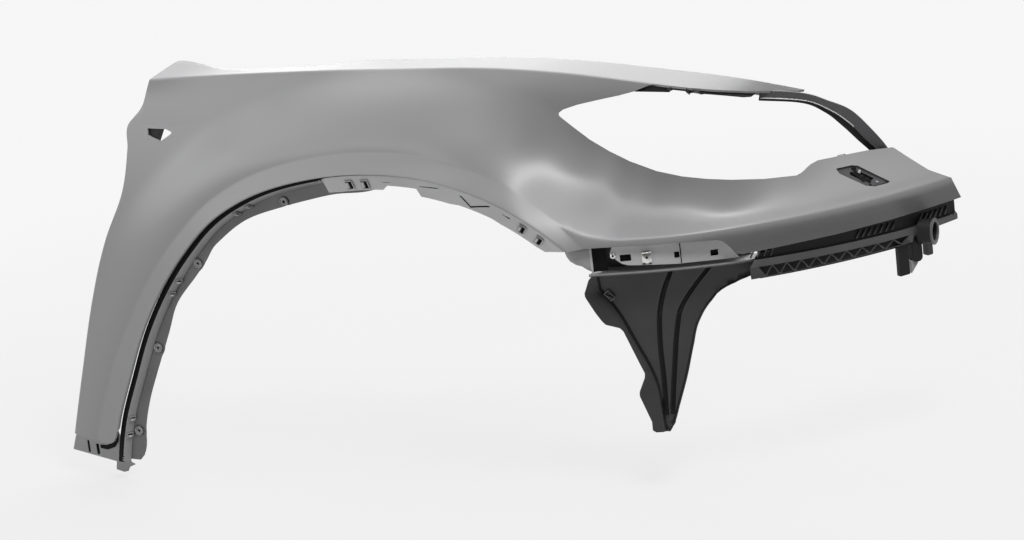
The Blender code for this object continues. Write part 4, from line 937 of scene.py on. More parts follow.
NUT_STEEL = steel_paint("nut_steel", NUT_ZINC, 0.36)
for count in range(1, len(SLOT_PLACE_SHARES) + 1):
    repaint(f"flange_nut_{count}", NUT_STEEL)


# Rear and front rims of the wheel arch
# Two moulded grey strips that close the arch behind the edge of the skin.  A groove stays between the
# skin and each strip, its floor painted black as painted shade; the front one is flatter to the eye and
# carries shallow recesses, whose walls are painted black as painted shade.
RIM_WALL = 0.002
RIM_FINE = 0.0035
RIM_JOINT_ANGLE = 97.5
RIM_LOW_ANGLE = 177.4
RIM_FRONT_ANGLE = 52.1
RIM_JOINT_GAP = 0.0004
# Section of a strip: way along it, depth behind the skin's face, drop below the skin's edge
RIM_REAR_SECTION = [
    (0.0000, 0.0150, -0.0022),
    (0.0066, 0.0135, 0.0040),
    (0.0082, 0.0145, 0.0052),
    (0.0200, 0.0246, 0.0102),
    (0.0215, 0.0260, 0.0104),
]
RIM_FRONT_SECTION = [
    (0.0000, 0.0105, -0.0020),
    (0.0050, 0.0085, 0.0012),
    (0.0062, 0.0085, 0.0024),
    (0.0375, 0.0205, 0.0286),
]
RIM_FRONT_END_SHARES = [
    (52.1, 0.20),
    (55.1, 0.93),
    (57.0, 1.00),
    (64.0, 1.00),
    (66.0, 0.93),
    (72.0, 0.92),
    (74.0, 1.00),
    (79.3, 1.00),
    (80.0, 0.62),
    (85.5, 0.62),
    (86.5, 0.84),
    (95.0, 0.90),
    (97.5, 0.86),
]


def arc_point(angle, drop, depth):
    """Point beside the arch edge: an angle in degrees, a drop below the edge and a depth behind the face."""
    turn = np.radians(angle)
    edge = ARCH_RADIUS * through(angle, ARCH_EDGE_SHARES)
    radius = edge - drop
    depth = plan_depth(edge * np.cos(turn)) + depth
    return np.stack([radius * np.cos(turn), depth + 0 * radius, radius * np.sin(turn)], axis=-1)


def arc_surface(section):
    """Surface of a strip: u runs round the arch and v across its section."""
    way, depth, drop = np.array(section).T

    def place(u, v):
        angle = -np.degrees(u / ARCH_RADIUS)
        return arc_point(angle, np.interp(v, way, drop), np.interp(v, way, depth))

    return place


def arc_u(angle):
    return -ARCH_RADIUS * np.radians(angle)


def moulded_paint(name, dark, light, rough, sheen=0.5):
    """Moulded grey plastic: a fine leathery grain over streaks of flow, a little uneven in gloss."""
    paint = Paint(name)
    flow = paint.noise(9.0, 4.0, 0.6)
    grain = paint.noise(1100.0, 3.0)
    tone = flow * 0.7 + grain * 0.3
    colour = paint.blend(tone.between(0.25, 0.75), (*dark, 1), (*light, 1))
    height = grain + flow * 0.3
    return paint.finish(
        base_color=colour,
        roughness=rough + 0.10 * (flow - 0.5),
        specular_ior_level=sheen,
        normal=paint.bump(height, 0.20, 0.0002),
    )


RIM_GREY = moulded_paint("rim_grey_finish", (0.210, 0.210, 0.213), (0.300, 0.300, 0.305), 0.42)
FRONT_RIM_GREY = moulded_paint("front_rim_grey", (0.400, 0.400, 0.404), (0.520, 0.520, 0.526), 0.40)
# Near-black used as painted shade: groove floors, recess walls, bores, holes, pockets and plates behind slots
SHADE_BLACK = moulded_paint("painted_shade_black", (0.004, 0.004, 0.004), (0.010, 0.010, 0.010), 0.85, 0.15)

# Widths of the strips beside the skin's edge that are painted black as painted shade
RIM_REAR_GROOVE = 0.0074
RIM_FRONT_GROOVE = 0.0056
# Shallow recesses pressed into the front strip: corners as way round the arch and way across
RIM_RECESSES = [
    [(-0.7151, 0.0143), (-0.7151, 0.0172), (-0.7026, 0.0173), (-0.7011, 0.0145)],
    [(-0.6584, 0.0155), (-0.6569, 0.0185), (-0.6287, 0.0142), (-0.6252, 0.0096)],
    [(-0.5981, 0.0120), (-0.5788, 0.0311), (-0.5504, 0.0139), (-0.5476, 0.0099)],
    [(-0.5314, 0.0136), (-0.5288, 0.0161), (-0.5193, 0.0175), (-0.5175, 0.0123)],
]
RECESS_DEPTH = 0.0012
RECESS_WALL = 0.0013


def loop_distance(u, v, loop):
    """How far inside an outline each place is; negative outside."""
    points = np.stack([np.ravel(u), np.ravel(v)], axis=1)
    loop = np.array(loop)
    run = np.roll(loop, -1, axis=0) - loop
    away = points[:, None] - loop
    share = np.clip((away * run).sum(axis=2) / (run**2).sum(axis=1), 0, 1)
    near = np.linalg.norm(away - share[..., None] * run, axis=2).min(axis=1)
    return np.where(inside(points, loop), near, -near).reshape(np.shape(u))


def inset_loop(loop, distance):
    """An outline drawn in by a distance."""
    loop = np.array(loop, float)
    middle = loop.mean(axis=0)
    run = np.roll(loop, -1, axis=0) - loop
    side = np.stack([-run[:, 1], run[:, 0]], axis=1) / np.linalg.norm(run, axis=1, keepdims=True)
    side = side * np.sign(((middle - loop) * side).sum(axis=1))[:, None]
    before = np.roll(side, 1, axis=0)
    return loop + (side + before) * distance / (1 + (side * before).sum(axis=1))[:, None]


rear_place = arc_surface(RIM_REAR_SECTION)
rear_angles = np.linspace(RIM_LOW_ANGLE, RIM_JOINT_ANGLE, 60)
rear_end = RIM_REAR_SECTION[-1][0]
rear_loop = [(a, 0.0) for a in arc_u(rear_angles)] + [(a, rear_end) for a in arc_u(rear_angles[::-1])]
rear_folds = [
    np.stack([arc_u(rear_angles[1:-1]), 0 * rear_angles[1:-1] + way], axis=1)
    for way in (*[row[0] for row in RIM_REAR_SECTION[1:-1]], RIM_REAR_GROOVE)
]
sheet(
    "arch_rim_rear",
    rear_loop,
    rear_place,
    RIM_WALL,
    RIM_FINE,
    [RIM_GREY, SHADE_BLACK],
    (),
    rear_folds,
    marks=lambda u, v: v < RIM_REAR_GROOVE,
)


def front_place(u, v):
    """The front strip, with its recesses pressed in."""
    angle = -np.degrees(u / ARCH_RADIUS)
    way, depth, drop = np.array(RIM_FRONT_SECTION).T
    sunk = sum(np.clip(loop_distance(u, v, loop) / RECESS_WALL, 0, 1) for loop in RIM_RECESSES)
    return arc_point(angle, np.interp(v, way, drop) - RECESS_DEPTH * sunk, np.interp(v, way, depth))


# The groove strip and the recess walls are painted black as painted shade
def front_shade_marks(u, v):
    walls = [loop_distance(u, v, loop) / RECESS_WALL for loop in RIM_RECESSES]
    return (v < RIM_FRONT_GROOVE) | np.any([(wall > 0) & (wall < 1) for wall in walls], axis=0)


front_angles = np.linspace(RIM_JOINT_ANGLE, RIM_FRONT_ANGLE, 50)
front_end = RIM_FRONT_SECTION[-1][0]
front_loop = [(u + RIM_JOINT_GAP, 0.0) for u in arc_u(front_angles)]
front_loop += [(arc_u(a) + RIM_JOINT_GAP, front_end * s) for a, s in RIM_FRONT_END_SHARES]
front_folds = [
    np.stack([arc_u(front_angles[1:-1]), 0 * front_angles[1:-1] + way], axis=1)
    for way in (*[row[0] for row in RIM_FRONT_SECTION[1:-1]], RIM_FRONT_GROOVE)
]
for recess in RIM_RECESSES:
    for ring in (np.array(recess), inset_loop(recess, RECESS_WALL)):
        front_folds.append(np.vstack([ring, ring[:1]]))
sheet(
    "arch_rim_front",
    front_loop,
    front_place,
    RIM_WALL,
    RIM_FINE,
    [FRONT_RIM_GREY, SHADE_BLACK],
    (),
    front_folds,
    marks=front_shade_marks,
)


# Liner flange and its screw bosses
# The same moulding as the rear rim, turned upright behind it, with scalloped tabs, and painted darker than
# the rim as painted shade.  Each tab carries a raised ring in the rim's grey with a bore for a screw of the
# wheelhouse liner, whose floor is painted black as painted shade.
LINER_SCALLOP_SHARES = [
    (87.5, 0.945),
    (90.0, 0.934),
    (97.5, 0.931),
    (103.0, 0.929),
    (109.0, 0.933),
    (118.0, 0.947),
    (124.5, 0.944),
    (127.0, 0.942),
    (130.0, 0.930),
    (134.0, 0.924),
    (143.0, 0.927),
    (148.0, 0.915),
    (159.0, 0.918),
    (164.0, 0.929),
    (171.0, 0.943),
    (174.6, 0.946),
    (176.4, 0.957),
    (177.4, 0.972),
]
LINER_FRONT_ANGLE = 87.5
LINER_DROP = 0.0104
LINER_DEPTH = 0.0263
BOSS_SHARES = [(108.0, 0.946), (132.0, 0.943), (153.0, 0.932), (171.5, 0.968)]
BOSS_OUTER = 0.0066
BOSS_DISH = 0.0052
BOSS_BORE = 0.0022
DISH_DEEP = 0.0022
DISH_REACH = 0.0105
DISH_SLOPE = 0.0035


def liner_place(u, v):
    """u runs round the arch and v outward from the arch radius.  Each boss stands in a shallow dish."""
    angle = -np.degrees(u / ARCH_RADIUS)
    turn = np.radians(angle)
    edge = ARCH_RADIUS * through(angle, ARCH_EDGE_SHARES)
    dish = 0 * u
    for spot, share in BOSS_SHARES:
        away = np.hypot(u - arc_u(spot), v - ARCH_RADIUS * (share - 1))
        dish = dish + DISH_DEEP * smooth_step((DISH_REACH - away) / DISH_SLOPE)
    depth = plan_depth(edge * np.cos(turn)) + LINER_DEPTH + dish
    return np.stack([(ARCH_RADIUS + v) * np.cos(turn), depth, (ARCH_RADIUS + v) * np.sin(turn)], axis=-1)


liner_angles = np.linspace(RIM_LOW_ANGLE, LINER_FRONT_ANGLE, 90)
liner_low = ARCH_RADIUS * (through(liner_angles, LINER_SCALLOP_SHARES) - 1)
liner_top = ARCH_RADIUS * (through(liner_angles, ARCH_EDGE_SHARES) - 1) - LINER_DROP
liner_loop = list(zip(arc_u(liner_angles), liner_low)) + list(zip(arc_u(liner_angles[::-1]), liner_top[::-1]))
# The rim's moulding painted darker as painted shade
LINER_SHADE_GREY = moulded_paint("liner_shade_grey", (0.095, 0.095, 0.098), (0.150, 0.150, 0.154), 0.46)
sheet("liner_flange", liner_loop, liner_place, RIM_WALL, RIM_FINE, [LINER_SHADE_GREY])


FACING_STEP = 0.0005


def facing(place, u, v):
    """Middle point, two directions along the surface and the outward normal at one place."""
    step = FACING_STEP
    grid = np.array([(u, v), (u + step, v), (u - step, v), (u, v + step), (u, v - step)])
    middle, ahead, behind_it, over, under = place(grid[:, 0], grid[:, 1])
    along = (ahead - behind_it) / np.linalg.norm(ahead - behind_it)
    rise = over - under
    rise = rise - along * (rise @ along)
    rise = rise / np.linalg.norm(rise)
    out = np.cross(along, rise)
    return middle, along, rise, out


def settle(name, shells, paints, smooth=True, added=False):
    """A piece of closed shells.  It stands for the CAD node of its name, unless it is an added one."""
    points, faces, marks = joined(shells)
    title = name if added else f"{name}_finish"
    mesh = bpy.data.meshes.new(title)
    mesh.from_pydata((points - DATUM).tolist(), [], faces)
    mesh.polygons.foreach_set("use_smooth", np.full(len(mesh.polygons), smooth))
    for paint in paints:
        mesh.materials.append(paint)
    mesh.polygons.foreach_set("material_index", marks)
    piece = bpy.data.objects.new(title, mesh)
    bpy.context.scene.collection.objects.link(piece)
    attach(piece, "root")
    if not added:
        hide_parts(name)


def circle(radius, count=40):
    turn = np.arange(count) * 2 * math.pi / count
    return np.stack([radius * np.cos(turn), radius * np.sin(turn)], axis=1)


def pill(long, wide, radius, count=6):
    """A rounded rectangle, drawn against the clock."""
    turn = np.linspace(0, math.pi / 2, count)
    corners = []
    for quarter, (sx, sy) in enumerate(((1, 1), (-1, 1), (-1, -1), (1, -1))):
        bend = turn + quarter * math.pi / 2
        x = sx * (long / 2 - radius) + radius * np.cos(bend)
        y = sy * (wide / 2 - radius) + radius * np.sin(bend)
        corners.append(np.stack([x, y], axis=1))
    return np.vstack(corners)


def swept(loop, profile, spot, axes, solid=False, mark=0):
    """Points, faces and paints of rows drawn round an outline.  Each row of the profile is a distance out of
    the outline and a height; a ring closes on itself, a solid is closed by its first and last rows."""
    loop = np.array(loop, float)
    ahead = np.roll(loop, -1, axis=0) - np.roll(loop, 1, axis=0)
    side = np.stack([ahead[:, 1], -ahead[:, 0]], axis=1) / np.linalg.norm(ahead, axis=1, keepdims=True)
    along, rise, out = (np.array(a) for a in axes)
    away, height = np.array(profile, float).T
    flat = loop + side * away[:, None, None]
    points = spot + flat[..., :1] * along + flat[..., 1:] * rise + height[:, None, None] * out
    count, sides = len(profile), len(loop)
    row, column = np.meshgrid(np.arange(count - solid), np.arange(sides), indexing="ij")
    after, beside = (row + 1) % count, (column + 1) % sides
    faces = np.stack([row, after, after, row], -1) * sides + np.stack([column, column, beside, beside], -1)
    faces = [tuple(f)[::-1] for f in faces.reshape(-1, 4)]
    if solid:
        faces += [tuple(range(sides))[::-1], tuple(range((count - 1) * sides, count * sides))]
    return points.reshape(-1, 3), faces, [mark] * len(faces)


def joined(shells):
    """Several shells as one list of points, one of faces and one of paints."""
    points, faces, marks = [], [], []
    for shell_points, shell_faces, shell_marks in shells:
        first = sum(len(p) for p in points)
        points.append(shell_points)
        faces += [tuple(int(i) + first for i in face) for face in shell_faces]
        marks += shell_marks
    return np.vstack(points), faces, marks


PLATE_SOFT = 0.0004


def plate(outline, low, high, spot, axes, mark=0, round_by=PLATE_SOFT):
    """A plate between two heights over a place, with a softened rim."""
    rows = [(-round_by, low), (0, low + round_by), (0, high - round_by), (-round_by, high)]
    return swept(outline, rows, spot, axes, True, mark)


def slab(outline, low, high, spot, axes, mark=0):
    """A plate with sharp edges."""
    return swept(outline, [(0, low), (0, high)], spot, axes, True, mark)


# Half section of a boss ring: distance out of its outer circle, then height over the flange
BOSS_DISH_IN = BOSS_DISH - BOSS_OUTER
BOSS_BORE_IN = BOSS_BORE - BOSS_OUTER
BOSS_ROWS = [
    (0.0002, 0.0002),
    (0.0, 0.0036),
    (-0.0004, 0.0041),
    (BOSS_DISH_IN + 0.0003, 0.0040),
    (BOSS_DISH_IN, 0.0029),
    (BOSS_DISH_IN - 0.0008, 0.0029),
    (BOSS_DISH_IN - 0.0014, 0.0034),
    (BOSS_BORE_IN + 0.0005, 0.0034),
    (BOSS_BORE_IN, 0.0030),
    (BOSS_BORE_IN, 0.0002),
]
BORE_FLOOR = (0.0002, 0.0010)
for count, (angle, share) in enumerate(BOSS_SHARES, 1):
    spot, *axes = facing(liner_place, arc_u(angle), ARCH_RADIUS * (share - 1))
    ring = swept(circle(BOSS_OUTER), BOSS_ROWS, spot, axes)
    # The floor of the bore is painted black as painted shade
    bore = slab(circle(BOSS_BORE, 24), *BORE_FLOOR, spot, axes, 1)
    settle(f"liner_boss_{count}", [ring, bore], [RIM_GREY, SHADE_BLACK])


# Liner clips
# Square clip housings moulded on both strips in pairs.  Each is an open frame with a pocket whose bed is
# painted black as painted shade, and a tongue standing in it, which holds the clip of the wheelhouse liner;
# the tongue is painted in the front strip's paler grey, a painted highlight on the rear clips.
CLIP_LONG = 0.0092
CLIP_DEEP = 0.0125
CLIP_CORNER = 0.0012
CLIP_RIM = 0.0009
CLIP_PROUD = 0.0026
CLIP_TONGUE = (0.0030, 0.0078)
CLIP_TONGUE_CORNER = 0.00096
CLIP_TONGUE_ASIDE = -0.0018
CLIP_REAR_WAY = 0.0150
CLIP_REAR_SHARE = 0.85
CLIP_REAR_ANGLES = (172.2, 168.8, 140.5, 137.3, 117.6, 114.6)
CLIP_FRONT_WAY = 0.0205
CLIP_FRONT_SHARE = 1.25
CLIP_FRONT_ANGLES = (92.6, 89.6, 60.2, 56.8)
# Heights over the back of the strip, and how much the tongue stands above the frame
CLIP_FOOT = 0.0002
CLIP_BED = 0.0005
CLIP_SOFT = 0.0003
TONGUE_PROUD = 0.0008


def clip_frame(name, place, angle, way, wall_paint, size_share):
    spot, along, rise, out = facing(place, arc_u(angle), way)
    axes = (along, -rise, -out)
    outline = pill(CLIP_LONG * size_share, CLIP_DEEP * size_share, CLIP_CORNER)
    top = RIM_WALL + CLIP_PROUD
    frame_rows = [
        (0.0, RIM_WALL + CLIP_FOOT),
        (0.0, top - CLIP_SOFT),
        (-CLIP_SOFT, top),
        (-CLIP_RIM, top),
        (-CLIP_RIM - CLIP_FOOT, top - CLIP_SOFT),
        (-CLIP_RIM - CLIP_FOOT, RIM_WALL + CLIP_FOOT),
    ]
    bed = RIM_WALL + CLIP_BED
    pocket = swept(outline, [(-CLIP_RIM, bed - 2 * CLIP_FOOT), (-CLIP_RIM, bed)], spot, axes, True, 1)
    tongue_loop = pill(CLIP_TONGUE[0] * size_share, CLIP_TONGUE[1] * size_share, CLIP_TONGUE_CORNER)
    foot = spot + axes[0] * CLIP_TONGUE_ASIDE * size_share
    tongue = plate(tongue_loop, bed + CLIP_FOOT / 2, top + TONGUE_PROUD, foot, axes, 2)
    shells = [swept(outline, frame_rows, spot, axes), pocket, tongue]
    # The bed is painted black as painted shade, the tongue in the paler front grey as a painted highlight
    settle(name, shells, [wall_paint, SHADE_BLACK, FRONT_RIM_GREY])


for count, angle in enumerate(CLIP_REAR_ANGLES, 1):
    clip_frame(f"liner_clip_rear_{count}", rear_place, angle, CLIP_REAR_WAY, RIM_GREY, CLIP_REAR_SHARE)
for count, angle in enumerate(CLIP_FRONT_ANGLES, 1):
    name = f"liner_clip_front_{count}"
    clip_frame(name, front_place, angle, CLIP_FRONT_WAY, FRONT_RIM_GREY, CLIP_FRONT_SHARE)


# Carrier cap
# End piece of the bumper carrier, moulded in one with a rounded grey cheek, a narrow proud upright painted
# paler as a painted highlight and a set-back pocket painted black as painted shade.  It is clipped on behind
# the skin, in front of the wheel arch.
CAP_WALL = 0.0022
CAP_FINE = 0.0035
CAP_SET_BACK = 0.026
CAP_CHEEK_END = 0.3070
CAP_UPRIGHT_END = 0.3096
CAP_BULGE = 0.0035
CAP_ROUND = 0.008
CAP_LINE_LOW = 0.3240
CAP_LINE_TOP = 0.3600
CAP_LOOP = [
    (0.2729, 0.3590),
    (0.2731, 0.3540),
    (0.2748, 0.3475),
    (0.2789, 0.3400),
    (0.2863, 0.3345),
    (0.2939, 0.3318),
    (0.3009, 0.3262),
    (0.3060, 0.3235),
    (0.3270, 0.3235),
    (0.3270, 0.3605),
    (0.2790, 0.3605),
]


def cap_place(u, v):
    edge = np.clip(loop_distance(u, v, CAP_LOOP) / CAP_ROUND, 0, 1)
    proud = CAP_BULGE * np.sqrt(edge * (2 - edge)) * (u < CAP_CHEEK_END)
    proud = proud + CAP_BULGE * ((u >= CAP_CHEEK_END) & (u < CAP_UPRIGHT_END))
    return np.stack([u, plan_depth(u) + CAP_SET_BACK - proud, v], axis=-1)


CAP_GREY = moulded_paint("cap_grey", (0.240, 0.240, 0.243), (0.330, 0.330, 0.335), 0.44)
UPRIGHT_HIGHLIGHT_GREY = moulded_paint("cap_upright_highlight_grey", (0.40, 0.40, 0.40), (0.52, 0.52, 0.52), 0.42)
cap_lines = [[(u, CAP_LINE_LOW), (u, CAP_LINE_TOP)] for u in (CAP_CHEEK_END, CAP_UPRIGHT_END)]
# The upright is painted paler as a painted highlight, the pocket black as painted shade
sheet(
    "carrier_cap",
    CAP_LOOP,
    cap_place,
    CAP_WALL,
    CAP_FINE,
    [CAP_GREY, UPRIGHT_HIGHLIGHT_GREY, SHADE_BLACK],
    (),
    cap_lines,
    marks=lambda u, v: 1.0 * (u > CAP_CHEEK_END) + 1.0 * (u > CAP_UPRIGHT_END),
)


# Bumper carrier strip
# Pale grey strip set back behind the skin, with a slanted rear end, an upright joint step whose wall is
# painted black as painted shade, and square holes with black plates set behind them as painted shade.
CARRIER_WALL = 0.002
CARRIER_FINE = 0.0040
CARRIER_STEP_TOP = 0.359
CARRIER_STEP_LOW = 0.353
CARRIER_SET_BACK = 0.020
CARRIER_CLEAR = 0.0038
CARRIER_JOINT = 0.4205
CARRIER_JOINT_WIDE = 0.0010
CARRIER_JOINT_START = CARRIER_JOINT - CARRIER_JOINT_WIDE
CARRIER_JOINT_LOW = 0.3255
CARRIER_JOINT_TOP = 0.3605
CARRIER_JOINT_PROUD = 0.0010
CARRIER_LOOP = [
    (0.3400, 0.3615),
    (0.4631, 0.3615),
    (0.4874, 0.3221),
    (0.4152, 0.3249),
    (0.3560, 0.3300),
    (0.3475, 0.3330),
    (0.3400, 0.3400),
    (0.3335, 0.3480),
]
CARRIER_HOLES = [
    (0.3529, 0.3406, 0.0140, 0.0095),
    (0.4156, 0.3375, 0.0062, 0.0085),
    (0.4593, 0.3335, 0.0090, 0.0085),
]
CARRIER_HOLE_CORNER = 0.0008
POCKET_BEHIND = 0.0032
POCKET_OVERLAP = 0.0012
POCKET_THICK = 0.0010


def carrier_place(u, v):
    near = skin_point(u, v - shoulder_height(u)) + np.array((0, CARRIER_CLEAR, 0))
    proud = CARRIER_JOINT_PROUD * np.clip((CARRIER_JOINT - u) / CARRIER_JOINT_WIDE, 0, 1)
    deep = np.stack([u, plan_depth(u) + CARRIER_SET_BACK - proud, v], axis=-1)
    share = smooth_step((CARRIER_STEP_TOP - v) / (CARRIER_STEP_TOP - CARRIER_STEP_LOW))[..., None]
    return near * (1 - share) + deep * share


# The wall of the joint step is painted black as painted shade
def carrier_shade_marks(u, v):
    return (u < CARRIER_JOINT) & (u > CARRIER_JOINT_START)


CARRIER_GREY = moulded_paint("carrier_strip_grey", (0.380, 0.380, 0.384), (0.500, 0.500, 0.506), 0.40)
carrier_holes = [pill(long, wide, CARRIER_HOLE_CORNER) + (u, v) for u, v, long, wide in CARRIER_HOLES]
joint_sides = (CARRIER_JOINT, CARRIER_JOINT_START)
carrier_lines = [[(u, CARRIER_JOINT_LOW), (u, CARRIER_JOINT_TOP)] for u in joint_sides]
carrier_lines += [
    [(0.3430, CARRIER_STEP_TOP), (0.4640, CARRIER_STEP_TOP)],
    [(0.3400, CARRIER_STEP_LOW), (0.4670, CARRIER_STEP_LOW)],
]
sheet(
    "bumper_carrier",
    CARRIER_LOOP,
    carrier_place,
    CARRIER_WALL,
    CARRIER_FINE,
    [CARRIER_GREY, SHADE_BLACK],
    carrier_holes,
    carrier_lines,
    marks=carrier_shade_marks,
)
# Black plates behind the holes stand for the shade inside them
for count, (u, v, long, wide) in enumerate(CARRIER_HOLES, 1):
    spot, *axes = facing(carrier_place, u, v)
    outline = pill(long + POCKET_OVERLAP, wide + POCKET_OVERLAP, POCKET_THICK)
    pocket = slab(outline, -POCKET_BEHIND - POCKET_THICK, -POCKET_BEHIND, spot, axes)
    settle(f"carrier_pocket_{count}", [pocket], [SHADE_BLACK], added=True)


# Spring clip and screw of the carrier strip
# A folded sheet-steel clip over a hole, its bore and two feet painted black as painted shade, and a pan
# screw with a hexagon socket painted black as painted shade.
CLIP_METAL = steel_paint("clip_sheet", (0.80, 0.80, 0.78), 0.34)
SPRING_PLACE = (0.379, 0.3385)
SPRING_LONG = 0.0130
SPRING_WIDE = 0.0165
SPRING_THICK = 0.0010
SPRING_CORNER = 0.0008
SPRING_FOOT_CORNER = 0.0005
SPRING_BORE = 0.0018
SPRING_LIP = (0.0012, 0.0042)
SPRING_LIP_WIDE = 0.0014
SPRING_DOT = (0.0013, 0.0015)
SPRING_FOOT = (0.0040, 0.0016)
SPRING_FOOT_RISE = (0.0004, 0.0022)
SPRING_FOOT_ASIDE = 0.0043
SPRING_FOOT_DOWN = 0.0080
CLIP_GAP = 0.0003
SCREW_PLACE = (0.3375, 0.3452)
SCREW_HEAD = 0.0040
SCREW_HIGH = 0.0024
SCREW_HEX = 0.0017
SCREW_SOFT = 0.0008
SCREW_HEX_HIGH = 0.0002

spot, along, rise, out = facing(carrier_place, *SPRING_PLACE)
axes = (along, rise, out)
outline = pill(SPRING_LONG, SPRING_WIDE, SPRING_CORNER)
spring = plate(outline, CLIP_GAP, CLIP_GAP + SPRING_THICK, spot, axes)
lip_loop = pill(SPRING_LONG, SPRING_LIP_WIDE, SPRING_FOOT_CORNER)
lip = plate(lip_loop, *SPRING_LIP, spot + rise * (SPRING_WIDE - SPRING_LIP_WIDE) / 2, axes)
# The bore and the two feet are painted black as painted shade
dot = slab(circle(SPRING_BORE, 24), *SPRING_DOT, spot, axes, 1)
foot_loop = pill(*SPRING_FOOT, SPRING_FOOT_CORNER)
feet = [
    plate(foot_loop, *SPRING_FOOT_RISE, spot + along * x - rise * SPRING_FOOT_DOWN, axes, 1)
    for x in (-SPRING_FOOT_ASIDE, SPRING_FOOT_ASIDE)
]
settle("spring_clip", [spring, lip, dot, *feet], [CLIP_METAL, SHADE_BLACK])

spot, *axes = facing(carrier_place, *SCREW_PLACE)
turn = np.arange(6) * math.pi / 3
hexagon = SCREW_HEX * np.stack([np.cos(turn), np.sin(turn)], axis=1)
head_rows = [
    (-CLIP_GAP, CLIP_GAP),
    (0, 2 * CLIP_GAP),
    (0, SCREW_HIGH - SCREW_SOFT),
    (-SCREW_SOFT, SCREW_HIGH),
]
head = swept(circle(SCREW_HEAD), head_rows, spot, axes, True)
# The hexagon socket is painted black as painted shade
hollow = slab(hexagon, SCREW_HIGH, SCREW_HIGH + SCREW_HEX_HIGH, spot, axes, 1)
settle("carrier_screw", [head, hollow], [CLIP_METAL, SHADE_BLACK])


# Bumper shelf
# Dark tray under the carrier strip.  Its front edge is rolled over and painted pale as a painted highlight,
# one bright line that falls a little toward the front.
TRAY_WALL = 0.0020
TRAY_FINE = 0.0040
TRAY_HEIGHT = 0.3222
TRAY_FALL_SHARE = 0.028
TRAY_FRONT = 0.016
TRAY_LIP = 0.0030
TRAY_ROLL = 0.0016
TRAY_DEEP = 0.0330
TRAY_START = 0.3055
TRAY_END = 0.5035
TRAY_CORNER = 0.014
TRAY_ROW_SHORT = 0.001


def tray_place(u, v):
    """u runs forward and v inward from the front edge, negative down the lip."""
    level = TRAY_HEIGHT - TRAY_FALL_SHARE * (u - TRAY_START)
    roll = TRAY_ROLL * np.clip(1 - (v / TRAY_ROLL) ** 2, 0, 1)
    depth = plan_depth(u) + TRAY_FRONT + np.maximum(v, 0) - roll * 0.5
    return np.stack([u, depth, level + np.minimum(v, 0) + roll * 0.5], axis=-1)


TRAY_GREY = moulded_paint("tray_grey", (0.060, 0.060, 0.062), (0.105, 0.105, 0.108), 0.44)
# Paler grey of the rolled edge: a painted highlight
TRAY_EDGE_HIGHLIGHT = moulded_paint("tray_edge_highlight_grey", (0.230, 0.230, 0.233), (0.330, 0.330, 0.335), 0.36)
tray_loop = [
    (TRAY_START, -TRAY_LIP),
    (TRAY_END, -TRAY_LIP),
    (TRAY_END, TRAY_DEEP),
    (TRAY_START + TRAY_CORNER, TRAY_DEEP),
    (TRAY_START, TRAY_DEEP - TRAY_CORNER),
]
tray_rows = [
    [(TRAY_START + TRAY_ROW_SHORT, TRAY_ROLL * share), (TRAY_END - TRAY_ROW_SHORT, TRAY_ROLL * share)]
    for share in (-1.0, -0.5, 0.0, 0.5, 1.0)
]
sheet(
    "bumper_shelf",
    tray_loop,
    tray_place,
    TRAY_WALL,
    TRAY_FINE,
    [TRAY_GREY, TRAY_EDGE_HIGHLIGHT],
    (),
    tray_rows,
    marks=lambda u, v: abs(v) < TRAY_ROLL,
)


# Wheelhouse bracket
# Black moulding that hangs below the carrier strip like a V.  Its rear edge is turned out into a notched
# flange, two curved channels run down the plate, and a rounded bead follows the front edge.  The wall of the
# flange, the bead and the floors of the channels are painted a deeper black as painted shade.
HOUSE_SET_BACK = 0.050
HOUSE_WALL = 0.0026
HOUSE_FINE = 0.0048
HOUSE_FLANGE_PROUD = 0.0052
HOUSE_FLANGE_WALL = 0.0014
HOUSE_FLANGE_TURN_SHARE = 0.30
CHANNEL_DEEP = 0.0042
CHANNEL_HALF = 0.0034
CHANNEL_WALL = 0.0012
CHANNEL_TOP = 0.3120
CHANNEL_LOW = 0.0960
CHANNEL_FADE = 0.0200
CHANNEL_SHADE_SHARE = 0.3
BEAD_WIDE = 0.0036
BEAD_PROUD = 0.0030
# Lines on the bracket: height, then forward place
HOUSE_FOLD = [
    (0.0826, 0.3706),
    (0.1265, 0.3684),
    (0.1484, 0.3667),
    (0.1677, 0.3622),
    (0.2080, 0.3471),
    (0.2259, 0.3399),
    (0.2496, 0.3307),
    (0.2800, 0.3140),
    (0.2915, 0.3065),
    (0.3086, 0.3050),
    (0.3491, 0.3050),
]
HOUSE_CHANNELS = (
    [
        (0.0972, 0.3707),
        (0.1550, 0.3724),
        (0.2125, 0.3728),
        (0.2548, 0.3768),
        (0.2823, 0.3843),
        (0.3120, 0.3965),
    ],
    [
        (0.0894, 0.3768),
        (0.1394, 0.3828),
        (0.1819, 0.3886),
        (0.2240, 0.3950),
        (0.2544, 0.4027),
        (0.2804, 0.4196),
        (0.3120, 0.4460),
    ],
)
HOUSE_FRONT_EDGE = [
    (0.0860, 0.3770),
    (0.0950, 0.3815),
    (0.1168, 0.3889),
    (0.1585, 0.4026),
    (0.2000, 0.4137),
    (0.2343, 0.4240),
    (0.2602, 0.4407),
    (0.2780, 0.4612),
    (0.2860, 0.4830),
    (0.2895, 0.4978),
]
